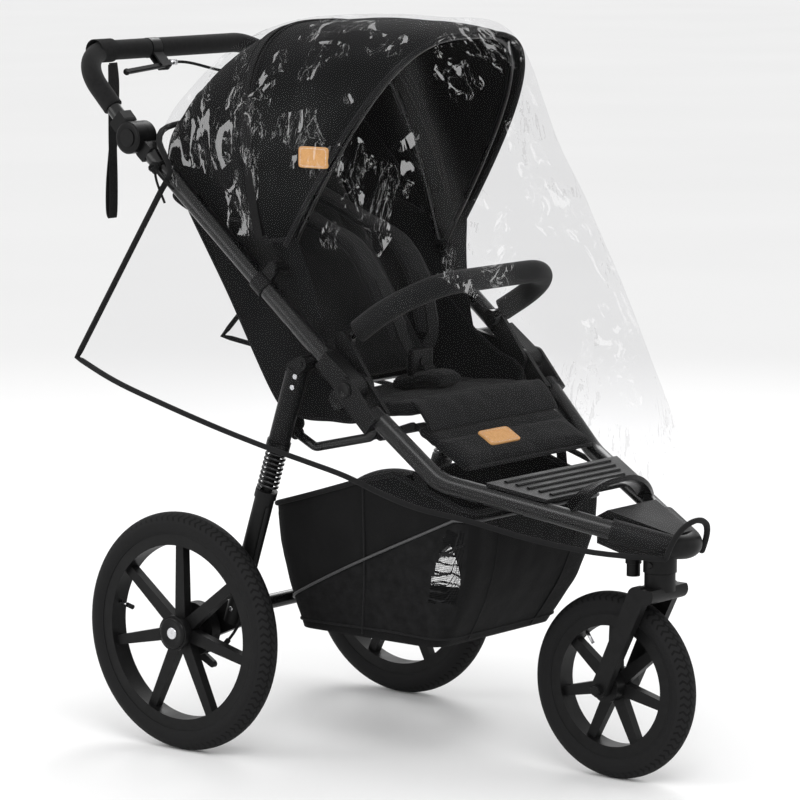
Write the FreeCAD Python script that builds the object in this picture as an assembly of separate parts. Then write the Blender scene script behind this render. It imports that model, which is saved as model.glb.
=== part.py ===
import FreeCAD, Part
import math
import os

# Three-wheel jogging stroller. X is across, -Y is forward, +Z is up, millimetres.
# f is the distance forward of the rear axle and z the height above the ground.
V = FreeCAD.Vector
os.makedirs("parts", exist_ok=True)

# ---- overall layout ----
WHEELBASE = 677.0
REAR_AXLE_Y = 255.0
REAR_TRACK = 577.0
REAR_WHEEL_RADIUS = 200.0
FRONT_WHEEL_RADIUS = 153.0
RUNNING = 0.05      # radial clearance of a shaft in its hole
GAP = 0.4           # clearance between faces that slide past each other

# ---- wheels ----
TYRE_RADIUS = 22.0
TYRE_WALL = 3.5
RIM_DEPTH = 19.0
RIM_WIDTH = 34.0
SPOKE_COUNT = 7
HUB_RADIUS = 25.0
HUB_CAP_RADIUS = 30.0
AXLE_RADIUS = 6.0
DRUM_RADIUS = 45.0

# ---- main tubes and fold ----
TUBE_RADIUS = 15.5
TUBE_WALL = 2.1
TUBE_BORE = TUBE_RADIUS - TUBE_WALL
MAIN_X = 232.0
FOLD_F = 320.0
FOLD_Z = 628.0
TILT_F = -145.0
TILT_Z = 1010.0
JOINT_REACH = 72.0
FOLD_HUB_RADIUS = 19.0
CHEEK_RADIUS = 20.5
FOLD_PIN_RADIUS = 7.0
KNEE = (207.0, 478.0, 489.0)
NOSE_END = (46.0, 770.0, 406.0)
KNEE_START_X = 228.0
CHEEK_IN_1 = MAIN_X - TUBE_RADIUS - GAP
CHEEK_IN_0 = CHEEK_IN_1 - 8.6
CHEEK_OUT_0 = MAIN_X + TUBE_RADIUS + GAP
CHEEK_OUT_1 = CHEEK_OUT_0 + 6.1

# ---- handlebar ----
HANDLE_F = -280.0
HANDLE_Z = 1146.0
HANDLE_X = 240.0
HANDLE_RADIUS = 12.5
GRIP_RADIUS = 17.0
HANDLE_BEND = 80.0
HUB_DISC_RADIUS = 27.0
SPLIT_X = 232.0
BUTTON_RADIUS = 15.0
PIN_RADIUS = 6.0

# ---- rear legs ----
LEG_F = 222.0
LEG_Z = 662.0
LEG_TOP = (204.0, 652.0)
LEG_FOOT = (61.0, 215.0)
SLEEVE_RADIUS = 18.0
SLEEVE_LENGTH = 146.0
SPRING_LENGTH = 72.0
SPRING_RADIUS = 15.6
SPRING_WIRE = 2.4
ROD_RADIUS = 9.0
LOWER_LEG_RADIUS = 16.5
CASTING_X0 = 214.0
CASTING_X1 = 234.0
CROSSBAR_F = 82.0
CROSSBAR_Z = 241.0
CROSSBAR_RADIUS = 12.5

# ---- steering ----
STEER_F = 762.0
STEM_RADIUS = 12.0
FORK_OPENING = 34.0
FORK_BLADE = 15.0
FRONT_AXLE_RADIUS = 5.0

# ---- canopy ----
CANOPY_F = 155.0
CANOPY_Z = 813.0
BOW_RADIUS = 4.4
FRONT_BOW = (59.5, 208.6, 431.0, 3.1)
MID_BOW = (106.0, 199.2, 390.0, 2.8)
FRONT_CLOTH = (222.0, 434.0)     # half width and height the cloth is cut to
MID_CLOTH = (245.0, 390.0)
FABRIC_LIFT = 8.5
FABRIC_THICKNESS = 2.5

# ---- seat ----
SEAT_HALF_WIDTH = 174.0
BACK_HALF_WIDTH = 187.0
SIDE_PANEL_X = 191.0
RECLINE_F = 160.0
RECLINE_Z = 552.0
LEGREST_F = 392.0
LEGREST_Z = 566.0
BUMPER_F = 274.0
BUMPER_Z = 700.0
BUMPER_ANGLE = 32.7
BUMPER_HALF_WIDTH = 207.0
BUMPER_REACH = 178.0
FOAM_RADIUS = 19.0

# ---- basket ----
BASKET_WALL = 4.0
BASKET_FLOOR_Z = 205.0

# ---- rain cover ----
FILM = 1.6
COVER_STEPS = 18


def at(x, f, z):
    return V(x, REAR_AXLE_Y - f, z)


def heading(angle):
    # unit vector in the side plane, 0 degrees forward and 90 degrees up
    a = math.radians(angle)
    return V(0, -math.cos(a), math.sin(a))


def unit(v):
    return v * (1.0 / v.Length)


def rod(a, b, radius):
    return Part.makeCylinder(radius, (b - a).Length, a, b - a)


def rod_x(f, z, radius, x0, x1):
    return Part.makeCylinder(radius, x1 - x0, at(x0, f, z), V(1, 0, 0))


def ring_x(f, z, outer, inner, x0, x1):
    return rod_x(f, z, outer, x0, x1).cut(rod_x(f, z, inner, x0, x1))


def mirrored(shape):
    return shape.mirror(V(0, 0, 0), V(1, 0, 0))


def pair(shape):
    return Part.makeCompound(list(shape.Solids) + list(mirrored(shape).Solids))


def join(shapes):
    whole = shapes[0]
    for s in shapes[1:]:
        whole = whole.fuse(s)
    return whole.removeSplitter()


def link(p, rp, q, rq, x0, x1):
    # flat link: the outline round two circles, extruded across the stroller
    a = at(x0, p[0], p[1])
    b = at(x0, q[0], q[1])
    d = b - a
    base = math.atan2(d.z, d.y)
    off = math.acos((rp - rq) / d.Length)

    def on(c, r, angle):
        return c + V(0, r * math.cos(angle), r * math.sin(angle))

    a1 = on(a, rp, base + off)
    b1 = on(b, rq, base + off)
    a2 = on(a, rp, base - off)
    b2 = on(b, rq, base - off)
    edges = [
        Part.makeLine(a1, b1),
        Part.Arc(b1, on(b, rq, base), b2).toShape(),
        Part.makeLine(b2, a2),
        Part.Arc(a2, on(a, -rp, base), a1).toShape(),
    ]
    return Part.Face(Part.Wire(edges)).extrude(V(x1 - x0, 0, 0))


def slab(outline, x0, x1):
    # polygon in the side plane, extruded across
    points = [at(x0, f, z) for f, z in outline]
    return Part.Face(Part.makePolygon(points + points[:1])).extrude(V(x1 - x0, 0, 0))


def route(points, bend):
    # polyline whose inner corners are rounded to the bend radius
    edges = []
    start = points[0]
    for before, here, after in zip(points, points[1:], points[2:]):
        u = unit(before - here)
        v = unit(after - here)
        half = u.getAngle(v) / 2
        side = unit(u + v)
        first = here + u * (bend / math.tan(half))
        last = here + v * (bend / math.tan(half))
        middle = here + side * (bend / math.sin(half) - bend)
        edges.append(Part.makeLine(start, first))
        edges.append(Part.Arc(first, middle, last).toShape())
        start = last
    edges.append(Part.makeLine(start, points[-1]))
    return Part.Wire(edges)


def smooth(points):
    curve = Part.BSplineCurve()
    curve.interpolate(points)
    return Part.Wire([curve.toShape()])


def sweep(path, radius):
    edge = path.OrderedEdges[0]
    start = edge.valueAt(edge.FirstParameter)
    tangent = edge.tangentAt(edge.FirstParameter)
    if (start - path.OrderedVertexes[0].Point).Length > 0.001:
        start = edge.valueAt(edge.LastParameter)
        tangent = edge.tangentAt(edge.LastParameter) * -1
    profile = Part.Wire([Part.makeCircle(radius, start, tangent)])
    return path.makePipeShell([profile], True, False)


def strap(points, width_dir, width, thickness):
    # flat band swept along a smooth line, its width along width_dir
    path = smooth(points)
    w = unit(width_dir)
    edge = path.Edges[0]
    t = edge.tangentAt(edge.FirstParameter)
    n = unit(t.cross(w))
    c = edge.valueAt(edge.FirstParameter)
    corners = []
    for i, j in ((1, 1), (-1, 1), (-1, -1), (1, -1)):
        corners.append(c + w * (i * width / 2) + n * (j * thickness / 2))
    shell = Part.BRepOffsetAPI.MakePipeShell(path)
    shell.setBiNormalMode(w)
    shell.add(Part.makePolygon(corners + corners[:1]), False, False)
    shell.build()
    shell.makeSolid()
    return shell.shape()


def arch(angle, half_width, height, power, count, lift, centre):
    # half superellipse standing over a pivot, in a plane tilted to the angle
    points = []
    for i in range(count):
        t = lift + (math.pi - 2 * lift) * i / (count - 1)
        c = math.cos(t)
        s = math.sin(t)
        x = math.copysign(half_width * abs(c) ** (2 / power), c)
        h = height * s ** (2 / power)
        points.append(at(x, *centre) + heading(angle) * h)
    return points


def facet_skin(rows, thickness, towards):
    # closed thin solid of flat triangles through the rows, offset towards a point
    n, m = len(rows), len(rows[0])
    i, j = n // 2, m // 2
    a = rows[i + 1][j] - rows[i - 1][j]
    b = rows[i][j + 1] - rows[i][j - 1]
    if a.cross(b).dot(towards - rows[i][j]) < 0:
        thickness = -thickness
    inner = []
    for i in range(n):
        line = []
        for j in range(m):
            a = rows[min(i + 1, n - 1)][j] - rows[max(i - 1, 0)][j]
            b = rows[i][min(j + 1, m - 1)] - rows[i][max(j - 1, 0)]
            line.append(rows[i][j] + unit(a.cross(b)) * thickness)
        inner.append(line)
    faces = []

    def quad(p, q, r, s):
        faces.append(Part.Face(Part.makePolygon([p, q, r, p])))
        faces.append(Part.Face(Part.makePolygon([p, r, s, p])))

    for i in range(n - 1):
        for j in range(m - 1):
            quad(rows[i][j], rows[i + 1][j], rows[i + 1][j + 1], rows[i][j + 1])
            quad(inner[i][j], inner[i][j + 1], inner[i + 1][j + 1], inner[i + 1][j])
    for i in range(n - 1):
        for j in (0, m - 1):
            quad(rows[i][j], rows[i + 1][j], inner[i + 1][j], inner[i][j])
    for j in range(m - 1):
        for i in (0, n - 1):
            quad(rows[i][j], rows[i][j + 1], inner[i][j + 1], inner[i][j])
    shell = Part.makeShell(faces)
    shell.sewShape()
    solid = Part.makeSolid(shell)
    if solid.Volume < 0:
        solid.reverse()
    return solid


def even(points, count):
    # the same line with evenly spaced points
    lengths = [0.0]
    for p, q in zip(points, points[1:]):
        lengths.append(lengths[-1] + (q - p).Length)
    line = []
    k = 0
    for i in range(count):
        s = lengths[-1] * i / (count - 1)
        while k < len(points) - 2 and lengths[k + 1] < s:
            k += 1
        t = (s - lengths[k]) / (lengths[k + 1] - lengths[k])
        line.append(points[k] + (points[k + 1] - points[k]) * t)
    return line


def rounded(shape, radius):
    return shape.makeFillet(radius, shape.Edges)


def save(name, shape):
    shape.exportStep("parts/" + name + ".step")


def wheel(radius, f, z, x_mid, hub_x0, hub_x1, bore):
    # spoked plastic wheel turning on a cross axle
    rim_outer = radius - TYRE_RADIUS - 13.0
    rim_inner = rim_outer - RIM_DEPTH
    rim = ring_x(f, z, rim_outer, rim_inner, x_mid - RIM_WIDTH / 2, x_mid + RIM_WIDTH / 2)
    hub = rod_x(f, z, HUB_RADIUS, hub_x0, hub_x1)
    body = rim.fuse(hub)
    for i in range(SPOKE_COUNT):
        a = 90 + 360.0 * i / SPOKE_COUNT
        c = at(x_mid, f, z)
        p = c + heading(a) * (HUB_RADIUS - 6)
        q = c + heading(a) * (rim_inner + 3)
        w = heading(a + 90)
        corners = []
        for point, half in ((p, 11.0), (q, 8.0)):
            ring = [point + V(s * 8, 0, 0) + w * (t * half) for s, t in ((1, 1), (-1, 1), (-1, -1), (1, -1))]
            corners.append(Part.makePolygon(ring + ring[:1]))
        body = body.fuse(Part.makeLoft(corners, True, True))
    body = body.cut(rod_x(f, z, bore, hub_x0 - 1, hub_x1 + 1))
    centre = at(x_mid, f, z)
    seat = radius - TYRE_RADIUS
    tyre = Part.makeTorus(seat, TYRE_RADIUS, centre, V(1, 0, 0))
    tyre = tyre.cut(Part.makeTorus(seat, TYRE_RADIUS - TYRE_WALL, centre, V(1, 0, 0)))
    tyre = tyre.cut(rod_x(f, z, rim_outer, x_mid - 30, x_mid + 30))
    return body.removeSplitter(), tyre


# ---------------------------------------------------------------- front frame
knee = at(*KNEE)
nose_end = at(*NOSE_END)
fold = at(MAIN_X, FOLD_F, FOLD_Z)
down = unit(at(KNEE_START_X, KNEE[1], KNEE[2]) - at(KNEE_START_X, FOLD_F, FOLD_Z))
socket = at(KNEE_START_X, FOLD_F, FOLD_Z) + down * JOINT_REACH
down = unit(knee - socket)
outer = sweep(route([socket, knee, nose_end], 70), TUBE_RADIUS)
inner = sweep(route([socket, knee, nose_end], 70), TUBE_BORE)
front_tube = outer.cut(inner)
save("front_tube_left", front_tube)
save("front_tube_right", mirrored(front_tube))

# fold joint, fixed half: two cheeks, a web, the pins and the plug in the front tube
back_angle = math.degrees(math.atan2(TILT_Z - FOLD_Z, TILT_F - FOLD_F))
low = (FOLD_F + 58 * 0.69, FOLD_Z - 58 * 0.73)
end = (FOLD_F + JOINT_REACH * 0.69, FOLD_Z - JOINT_REACH * 0.73)
cheek_in = link((FOLD_F, FOLD_Z), CHEEK_RADIUS, (LEG_F, LEG_Z), 13, CHEEK_IN_0, CHEEK_IN_1)
cheek_in = cheek_in.fuse(link((FOLD_F, FOLD_Z), CHEEK_RADIUS, end, 16.5, CHEEK_IN_0, CHEEK_IN_1))
cheek_out = link((FOLD_F, FOLD_Z), CHEEK_RADIUS, end, 16.5, CHEEK_OUT_0, CHEEK_OUT_1)
web = link(low, 15, end, 16.5, CHEEK_IN_0, CHEEK_OUT_1)
plane = Part.makeBox(120, 120, 60, V(-60, -60, 0))
plane.Placement = FreeCAD.Placement(socket, FreeCAD.Rotation(V(0, 0, 1), down))
castings = cheek_in.fuse(cheek_out).fuse(web).cut(plane)
castings = castings.fuse(rod(socket - down * 20, socket + down * 26, TUBE_BORE - RUNNING))
castings = castings.cut(rod_x(FOLD_F, FOLD_Z, FOLD_HUB_RADIUS + 1, CHEEK_IN_1, CHEEK_OUT_0))
castings = castings.fuse(rod_x(FOLD_F, FOLD_Z, FOLD_PIN_RADIUS, CHEEK_IN_0, CHEEK_OUT_1))
castings = castings.fuse(rod_x(FOLD_F, FOLD_Z, 15, CHEEK_OUT_1 - 1, CHEEK_OUT_1 + 1))
castings = castings.fuse(rod_x(LEG_F, LEG_Z, 5, CHEEK_IN_0, 249.5)).removeSplitter()
save("fold_castings", pair(castings))

# fold joint, moving half: hub on the pin, arm and plug in the main tube
arm_end = (FOLD_F + JOINT_REACH * math.cos(math.radians(back_angle)),
           FOLD_Z + JOINT_REACH * math.sin(math.radians(back_angle)))
arm = link((FOLD_F, FOLD_Z), FOLD_HUB_RADIUS, arm_end, TUBE_RADIUS, CHEEK_IN_1 + GAP, CHEEK_OUT_0 - GAP)
tube_dir = heading(back_angle)
main_start = at(MAIN_X, *arm_end)
plane = Part.makeBox(120, 120, 60, V(-60, -60, 0))
plane.Placement = FreeCAD.Placement(main_start, FreeCAD.Rotation(V(0, 0, 1), tube_dir))
arm = arm.cut(plane)
arm = arm.fuse(rod(main_start - tube_dir * 10, main_start + tube_dir * 30, TUBE_BORE - RUNNING))
arm = arm.cut(rod_x(FOLD_F, FOLD_Z, FOLD_PIN_RADIUS + RUNNING, 200, 260)).removeSplitter()
save("fold_arms", pair(arm))

# main tubes up to the handle hubs
main_end = at(MAIN_X, TILT_F, TILT_Z) - tube_dir * 44
main_tube = rod(main_start, main_end, TUBE_RADIUS).cut(rod(main_start, main_end, TUBE_BORE))
save("main_tube_left", main_tube)
save("main_tube_right", mirrored(main_tube))

# handle hub, inner half
hub_in = rod_x(TILT_F, TILT_Z, HUB_DISC_RADIUS, CHEEK_IN_1 - 2, SPLIT_X - GAP / 2)
neck = (TILT_F - 30 * math.cos(math.radians(back_angle)), TILT_Z - 30 * math.sin(math.radians(back_angle)))
far = (TILT_F - 44 * math.cos(math.radians(back_angle)), TILT_Z - 44 * math.sin(math.radians(back_angle)))
block = link(neck, 15.2, far, 15.2, CHEEK_IN_1 + GAP, CHEEK_OUT_0 - GAP)
plane = Part.makeBox(120, 120, 60, V(-60, -60, -60))
plane.Placement = FreeCAD.Placement(main_end, FreeCAD.Rotation(V(0, 0, 1), tube_dir))
block = block.cut(plane)
hub_in = hub_in.fuse(block)
hub_in = hub_in.cut(rod_x(TILT_F, TILT_Z, HUB_DISC_RADIUS + 1, SPLIT_X - GAP / 2, 270))
hub_in = hub_in.fuse(rod(main_end - tube_dir * 26, main_end + tube_dir * 4, TUBE_BORE - RUNNING))
hub_in = hub_in.fuse(rod_x(TILT_F, TILT_Z, PIN_RADIUS, SPLIT_X - 6, SPLIT_X + 7)).removeSplitter()
save("handle_hubs", pair(hub_in))

# ---------------------------------------------------------------- handlebar
grip_angle = math.degrees(math.atan2(HANDLE_Z - TILT_Z, HANDLE_F - TILT_F))
up = heading(grip_angle)
hinge = at(HANDLE_X, TILT_F, TILT_Z)
arm_start = hinge + up * 46
corner = at(HANDLE_X, HANDLE_F, HANDLE_Z)
other = at(-HANDLE_X, HANDLE_F, HANDLE_Z)
arm_start_r = at(-HANDLE_X, TILT_F, TILT_Z) + up * 46
bar_path = route([arm_start, corner, other, arm_start_r], HANDLE_BEND)
bar_solid = sweep(bar_path, HANDLE_RADIUS)
bar = bar_solid.cut(sweep(bar_path, HANDLE_RADIUS - 2))
save("handlebar", bar)
CLAMP_X = -50.0
CLAMP_WIDTH = 26.0
grips = sweep(bar_path, GRIP_RADIUS).cut(bar_solid)
middle = Part.makeBox(CLAMP_WIDTH + 2, 120, 120, at(CLAMP_X - CLAMP_WIDTH / 2 - 1, HANDLE_F + 60, HANDLE_Z - 60))
grips = grips.cut(middle)
trim_l = rod(arm_start - up * 1, arm_start + up * 22, 40)
trim_r = mirrored(trim_l)
grips = grips.cut(trim_l).cut(trim_r)
save("handle_grips", Part.makeCompound(grips.Solids))

hub_out = rod_x(TILT_F, TILT_Z, HUB_DISC_RADIUS, SPLIT_X + GAP / 2, 256)
near = (TILT_F + 31 * math.cos(math.radians(grip_angle)), TILT_Z + 31 * math.sin(math.radians(grip_angle)))
reach = (TILT_F + 46 * math.cos(math.radians(grip_angle)), TILT_Z + 46 * math.sin(math.radians(grip_angle)))
neck_out = link(near, 16, reach, 16, HANDLE_X - 14, HANDLE_X + 14)
neck_out = neck_out.cut(rod_x(TILT_F, TILT_Z, HUB_DISC_RADIUS + 1, 200, SPLIT_X + GAP / 2))
plane = Part.makeBox(120, 120, 60, V(-60, -60, 0))
plane.Placement = FreeCAD.Placement(arm_start, FreeCAD.Rotation(V(0, 0, 1), up))
hub_out = hub_out.fuse(neck_out.cut(plane))
hub_out = hub_out.fuse(rod(arm_start - up * 6, arm_start + up * 20, HANDLE_RADIUS - 2 - RUNNING))
hub_out = hub_out.cut(rod_x(TILT_F, TILT_Z, PIN_RADIUS + RUNNING, 200, SPLIT_X + 8))
hub_out = hub_out.cut(rod_x(TILT_F, TILT_Z, BUTTON_RADIUS + 0.3, 243, 260)).removeSplitter()
save("handle_clevises", pair(hub_out))
button = rod_x(TILT_F, TILT_Z, BUTTON_RADIUS, 248.5, 259)
save("tilt_button_left", button)
save("tilt_button_right", mirrored(button))

# brake lever on the bar: clamp, lever blade and the upper cable
across = heading(grip_angle - 180)
normal = V(1, 0, 0).cross(across)
bar_mid = at(0, HANDLE_F, HANDLE_Z)
LEVER_DROP = 40.0
LEVER_X = -42.0
clamp = rod(bar_mid + V(CLAMP_X - 12, 0, 0), bar_mid + V(CLAMP_X + 12, 0, 0), 17.5)
post = Part.makeBox(24, 34, 14, V(-12, 0, -7))
post.Placement = FreeCAD.Placement(bar_mid + V(CLAMP_X, 0, 0) + across * 12, FreeCAD.Rotation(V(1, 0, 0), across, normal, "XYZ"))
clamp = clamp.fuse(post)
clamp = clamp.cut(rod(bar_mid + V(-100, 0, 0), bar_mid + V(0, 0, 0), HANDLE_RADIUS))
pivot = bar_mid + V(LEVER_X, 0, 0) + across * LEVER_DROP
clamp = clamp.cut(rod(pivot - normal * 4.4, pivot + normal * 4.4, 30))
clamp = clamp.fuse(rod(pivot - normal * 6.5, pivot + normal * 6.5, 3)).removeSplitter()
save("lever_clamp", clamp)
tip = bar_mid + V(-150, 0, 0) + across * (LEVER_DROP + 10)
blade = Part.makeCylinder(8, 8, pivot - normal * 4, normal)
shank = rod(pivot + V(-4, 0, 0), tip, 5)
limit = Part.makeBox(400, 400, 8, V(-200, -200, -4))
limit.Placement = FreeCAD.Placement(pivot, FreeCAD.Rotation(V(1, 0, 0), across, normal, "XYZ"))
blade = blade.fuse(shank.common(limit)).fuse(Part.makeSphere(6, tip).common(limit))
blade = blade.cut(rod(pivot - normal * 9, pivot + normal * 9, 3 + RUNNING)).removeSplitter()
save("brake_lever", blade)
CABLE_RADIUS = 2.5
cable_points = [
    bar_mid + V(-22, 0, 0) + across * 36,
    bar_mid + V(20, 0, 0) + across * 40,
    bar_mid + V(70, 0, 0) + across * 58,
    bar_mid + V(130, 0, 0) + across * 72,
    bar_mid + V(180, 0, 0) + across * 92,
    bar_mid + V(204, 0, 0) + across * 130,
    bar_mid + V(208, 0, 0) + across * 168,
]
cable = sweep(smooth(cable_points), CABLE_RADIUS)
save("brake_cable_upper", cable)

# wrist strap looped over the bar corner
strap_path = [
    at(-168, -262, 1128) + V(0, 0, 0),
    at(-170, -258, 1090),
    at(-174, -262, 1000),
    at(-176, -268, 900),
    at(-178, -262, 862),
    at(-180, -250, 862),
    at(-182, -246, 900),
    at(-182, -250, 1000),
    at(-178, -250, 1090),
    at(-176, -252, 1122),
]
loop = strap(strap_path, V(1, 0, 0), 18, 2.2)
loop = loop.cut(sweep(bar_path, GRIP_RADIUS))
save("wrist_strap", loop)

# ---------------------------------------------------------------- rear legs
leg_dir = unit(at(0, *LEG_FOOT) - at(0, *LEG_TOP))
leg_top = at(MAIN_X, *LEG_TOP)
sleeve_end = leg_top + leg_dir * SLEEVE_LENGTH
spring_end = sleeve_end + leg_dir * SPRING_LENGTH
sleeve = rod(leg_top, sleeve_end, SLEEVE_RADIUS)
sleeve = sleeve.fuse(rod(sleeve_end - leg_dir * 16, sleeve_end, SLEEVE_RADIUS + 2))
head = link((LEG_F, LEG_Z), 12, LEG_TOP, 13, CHEEK_IN_1 + GAP, CHEEK_OUT_0 - GAP)
leg = sleeve.fuse(head)
leg = leg.cut(Part.makeBox(60, 400, 400, at(CHEEK_IN_1 + GAP - 60, 320, 400)))
leg = leg.cut(rod_x(LEG_F, LEG_Z, 5 + RUNNING, 200, 260))
leg = leg.cut(rod(sleeve_end - leg_dir * 120, sleeve_end, ROD_RADIUS + RUNNING)).removeSplitter()
save("rear_legs", pair(leg))

foot = at(MAIN_X, *LEG_FOOT)
lower = rod(spring_end, foot, LOWER_LEG_RADIUS)
lower = lower.fuse(rod(spring_end, spring_end + leg_dir * 14, LOWER_LEG_RADIUS + 2))
lower = lower.fuse(rod(spring_end - leg_dir * 150, spring_end, ROD_RADIUS)).removeSplitter()
casting = link((0, 200), 22, (LEG_FOOT[0] + 6, LEG_FOOT[1] + 16), 24, CASTING_X0, CASTING_X1)
PLATE_X = 246.5
casting = casting.fuse(rod_x(0, 200, 20, CASTING_X1, PLATE_X))
casting = casting.fuse(rod_x(0, 200, DRUM_RADIUS, PLATE_X, PLATE_X + 5.5))
casting = casting.fuse(rod_x(0, 200, AXLE_RADIUS, PLATE_X, 309))
ARM_F = -14.0
ARM_Z = 160.0
casting = casting.fuse(rod_x(ARM_F, ARM_Z, 4, 236, PLATE_X)).removeSplitter()
lower = lower.cut(casting)
save("lower_legs", pair(lower))
save("axle_castings", pair(casting))
crossbar = rod_x(CROSSBAR_F, CROSSBAR_Z, CROSSBAR_RADIUS, -CASTING_X0, CASTING_X0)
crossbar = crossbar.cut(rod_x(CROSSBAR_F, CROSSBAR_Z, CROSSBAR_RADIUS - 2, -CASTING_X0, CASTING_X0))
save("rear_crossbar", crossbar)

# suspension springs
turns = 8
pitch = (SPRING_LENGTH - 2 * SPRING_WIRE - 1) / turns
helix = Part.makeHelix(pitch, pitch * turns, SPRING_RADIUS)
profile = Part.Wire([Part.makeCircle(SPRING_WIRE, V(SPRING_RADIUS, 0, 0), V(0, 1, 0))])
coil = Part.Wire(helix).makePipeShell([profile], True, True)
coil.Placement = FreeCAD.Placement(sleeve_end + leg_dir * (SPRING_WIRE + 0.5), FreeCAD.Rotation(V(0, 0, 1), leg_dir))
save("suspension_springs", pair(coil))

# drum brake arms, adjusters and lower cables
ARM_TIP = (24.0, 140.0)
brake_arm = link((ARM_F, ARM_Z), 8, ARM_TIP, 6, 238, 245.5)
brake_arm = brake_arm.cut(rod_x(ARM_F, ARM_Z, 4 + RUNNING, 230, 250))
save("brake_arm_left", brake_arm)
save("brake_arm_right", mirrored(brake_arm))
low_points = [at(241.5, 34, 158), at(241.5, 83, 212), at(241.5, 145.5, 415)]
low_cable = sweep(route(low_points, 120), CABLE_RADIUS)
barrel = rod(at(241.5, 44, 169), at(241.5, 58, 184.4), 4.5)
low_cable = low_cable.fuse(barrel).removeSplitter()
save("brake_cables_lower", pair(low_cable))

# parking brake pedal on the crossbar
pedal = ring_x(CROSSBAR_F, CROSSBAR_Z, 18, CROSSBAR_RADIUS + RUNNING, -34, 34)
pad = slab([(70, 247), (70, 256), (18, 272), (18, 263)], -34, 34)
pad = pad.cut(rod_x(CROSSBAR_F, CROSSBAR_Z, CROSSBAR_RADIUS + RUNNING, -40, 40))
save("parking_pedal", pedal.fuse(pad).removeSplitter())

# ---------------------------------------------------------------- wheels
half_track = REAR_TRACK / 2
rear, rear_tyre = wheel(REAR_WHEEL_RADIUS, 0, 200, half_track, 266, 309.5, AXLE_RADIUS + RUNNING)
drum = rod_x(0, 200, DRUM_RADIUS, 252.6, 267).cut(rod_x(0, 200, DRUM_RADIUS - 5, 252.6, 264))
drum = drum.cut(rod_x(0, 200, AXLE_RADIUS + RUNNING, 250, 270))
cap = rod_x(0, 200, HUB_CAP_RADIUS, 309.5, 315)
rear = rear.fuse(drum).fuse(cap).removeSplitter()
save("rear_wheel_left", rear)
save("rear_wheel_right", mirrored(rear))
save("rear_tyre_left", rear_tyre)
save("rear_tyre_right", mirrored(rear_tyre))
front, front_tyre = wheel(FRONT_WHEEL_RADIUS, WHEELBASE, FRONT_WHEEL_RADIUS, 0, -30, 30, FRONT_AXLE_RADIUS + RUNNING)
save("front_wheel", front)
save("front_tyre", front_tyre)

# ---------------------------------------------------------------- fork and nose
axle_f = WHEELBASE
axle_z = FRONT_WHEEL_RADIUS
blade_l = link((750, 312), 17, (axle_f, axle_z), 14, FORK_OPENING, FORK_OPENING + FORK_BLADE)
crown = link((750, 312), 17, (768, 316), 15, -FORK_OPENING - FORK_BLADE, FORK_OPENING + FORK_BLADE)
crown = crown.cut(Part.makeBox(200, 200, 60, at(-100, 850, 325)))
tyre_room = Part.makeTorus(axle_z - TYRE_RADIUS, TYRE_RADIUS + 5, at(0, axle_f, axle_z), V(1, 0, 0))
crown = crown.cut(rod_x(axle_f, axle_z, axle_z + 4, -FORK_OPENING, FORK_OPENING))
fork = join([crown, blade_l, mirrored(blade_l)])
fork = fork.fuse(Part.makeCylinder(25, 29, at(0, STEER_F, 318)))
fork = fork.fuse(Part.makeCylinder(STEM_RADIUS, 62, at(0, STEER_F, 346)))
fork = fork.cut(rod_x(axle_f, axle_z, FRONT_AXLE_RADIUS, -70, 70)).removeSplitter()
save("fork", fork)
front_axle = rod_x(axle_f, axle_z, FRONT_AXLE_RADIUS, -56, 56)
front_axle = front_axle.fuse(rod_x(axle_f, axle_z, 9, FORK_OPENING + FORK_BLADE, 58))
front_axle = front_axle.fuse(rod_x(axle_f, axle_z, 9, -58, -FORK_OPENING - FORK_BLADE)).removeSplitter()
save("front_axle", front_axle)

# the two front tubes run into one bent socket, closed above by a wedge and below by the neck
toward = unit(knee - nose_end)
apex = nose_end - toward * (nose_end.x / toward.x)
back_l = nose_end + toward * 60
back_r = V(-back_l.x, back_l.y, back_l.z)
nose = sweep(route([back_l, apex, back_r], 38), TUBE_RADIUS + 3.5)
plan = [at(72, 690, 372), at(-72, 690, 372), at(-26, 806, 372), at(26, 806, 372)]
wedge = Part.Face(Part.makePolygon(plan + plan[:1])).extrude(V(0, 0, 90))
wedge = wedge.common(slab([(690, 396), (690, 440), (706, 450), (806, 416), (806, 380), (740, 376)], -90, 90))
nose = nose.fuse(wedge)
nose = nose.fuse(Part.makeCylinder(27, 66, at(0, STEER_F, 348)))
nose = nose.fuse(Part.makeCylinder(13, 60, at(0, 710, 356)))
tunnel = rod(nose_end, nose_end + toward * 200, TUBE_RADIUS)
nose = nose.cut(tunnel).cut(mirrored(tunnel))
nose = nose.cut(Part.makeCylinder(STEM_RADIUS + RUNNING, 64, at(0, STEER_F, 345)))
nose = nose.cut(Part.makeCylinder(4 + RUNNING, 34, at(0, 710, 350))).removeSplitter()
save("nose_casting", nose)
knob = Part.makeCylinder(11, 20, at(0, 710, 335.5)).fuse(Part.makeCylinder(4, 45, at(0, 710, 336))).removeSplitter()
save("swivel_knob", knob)

# footplate between the front tubes and the hoop ahead of it


def tube_at(f):
    s = (f - KNEE[1]) / (NOSE_END[1] - KNEE[1])
    return KNEE[0] + s * (NOSE_END[0] - KNEE[0]), KNEE[2] + s * (NOSE_END[2] - KNEE[2])


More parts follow.
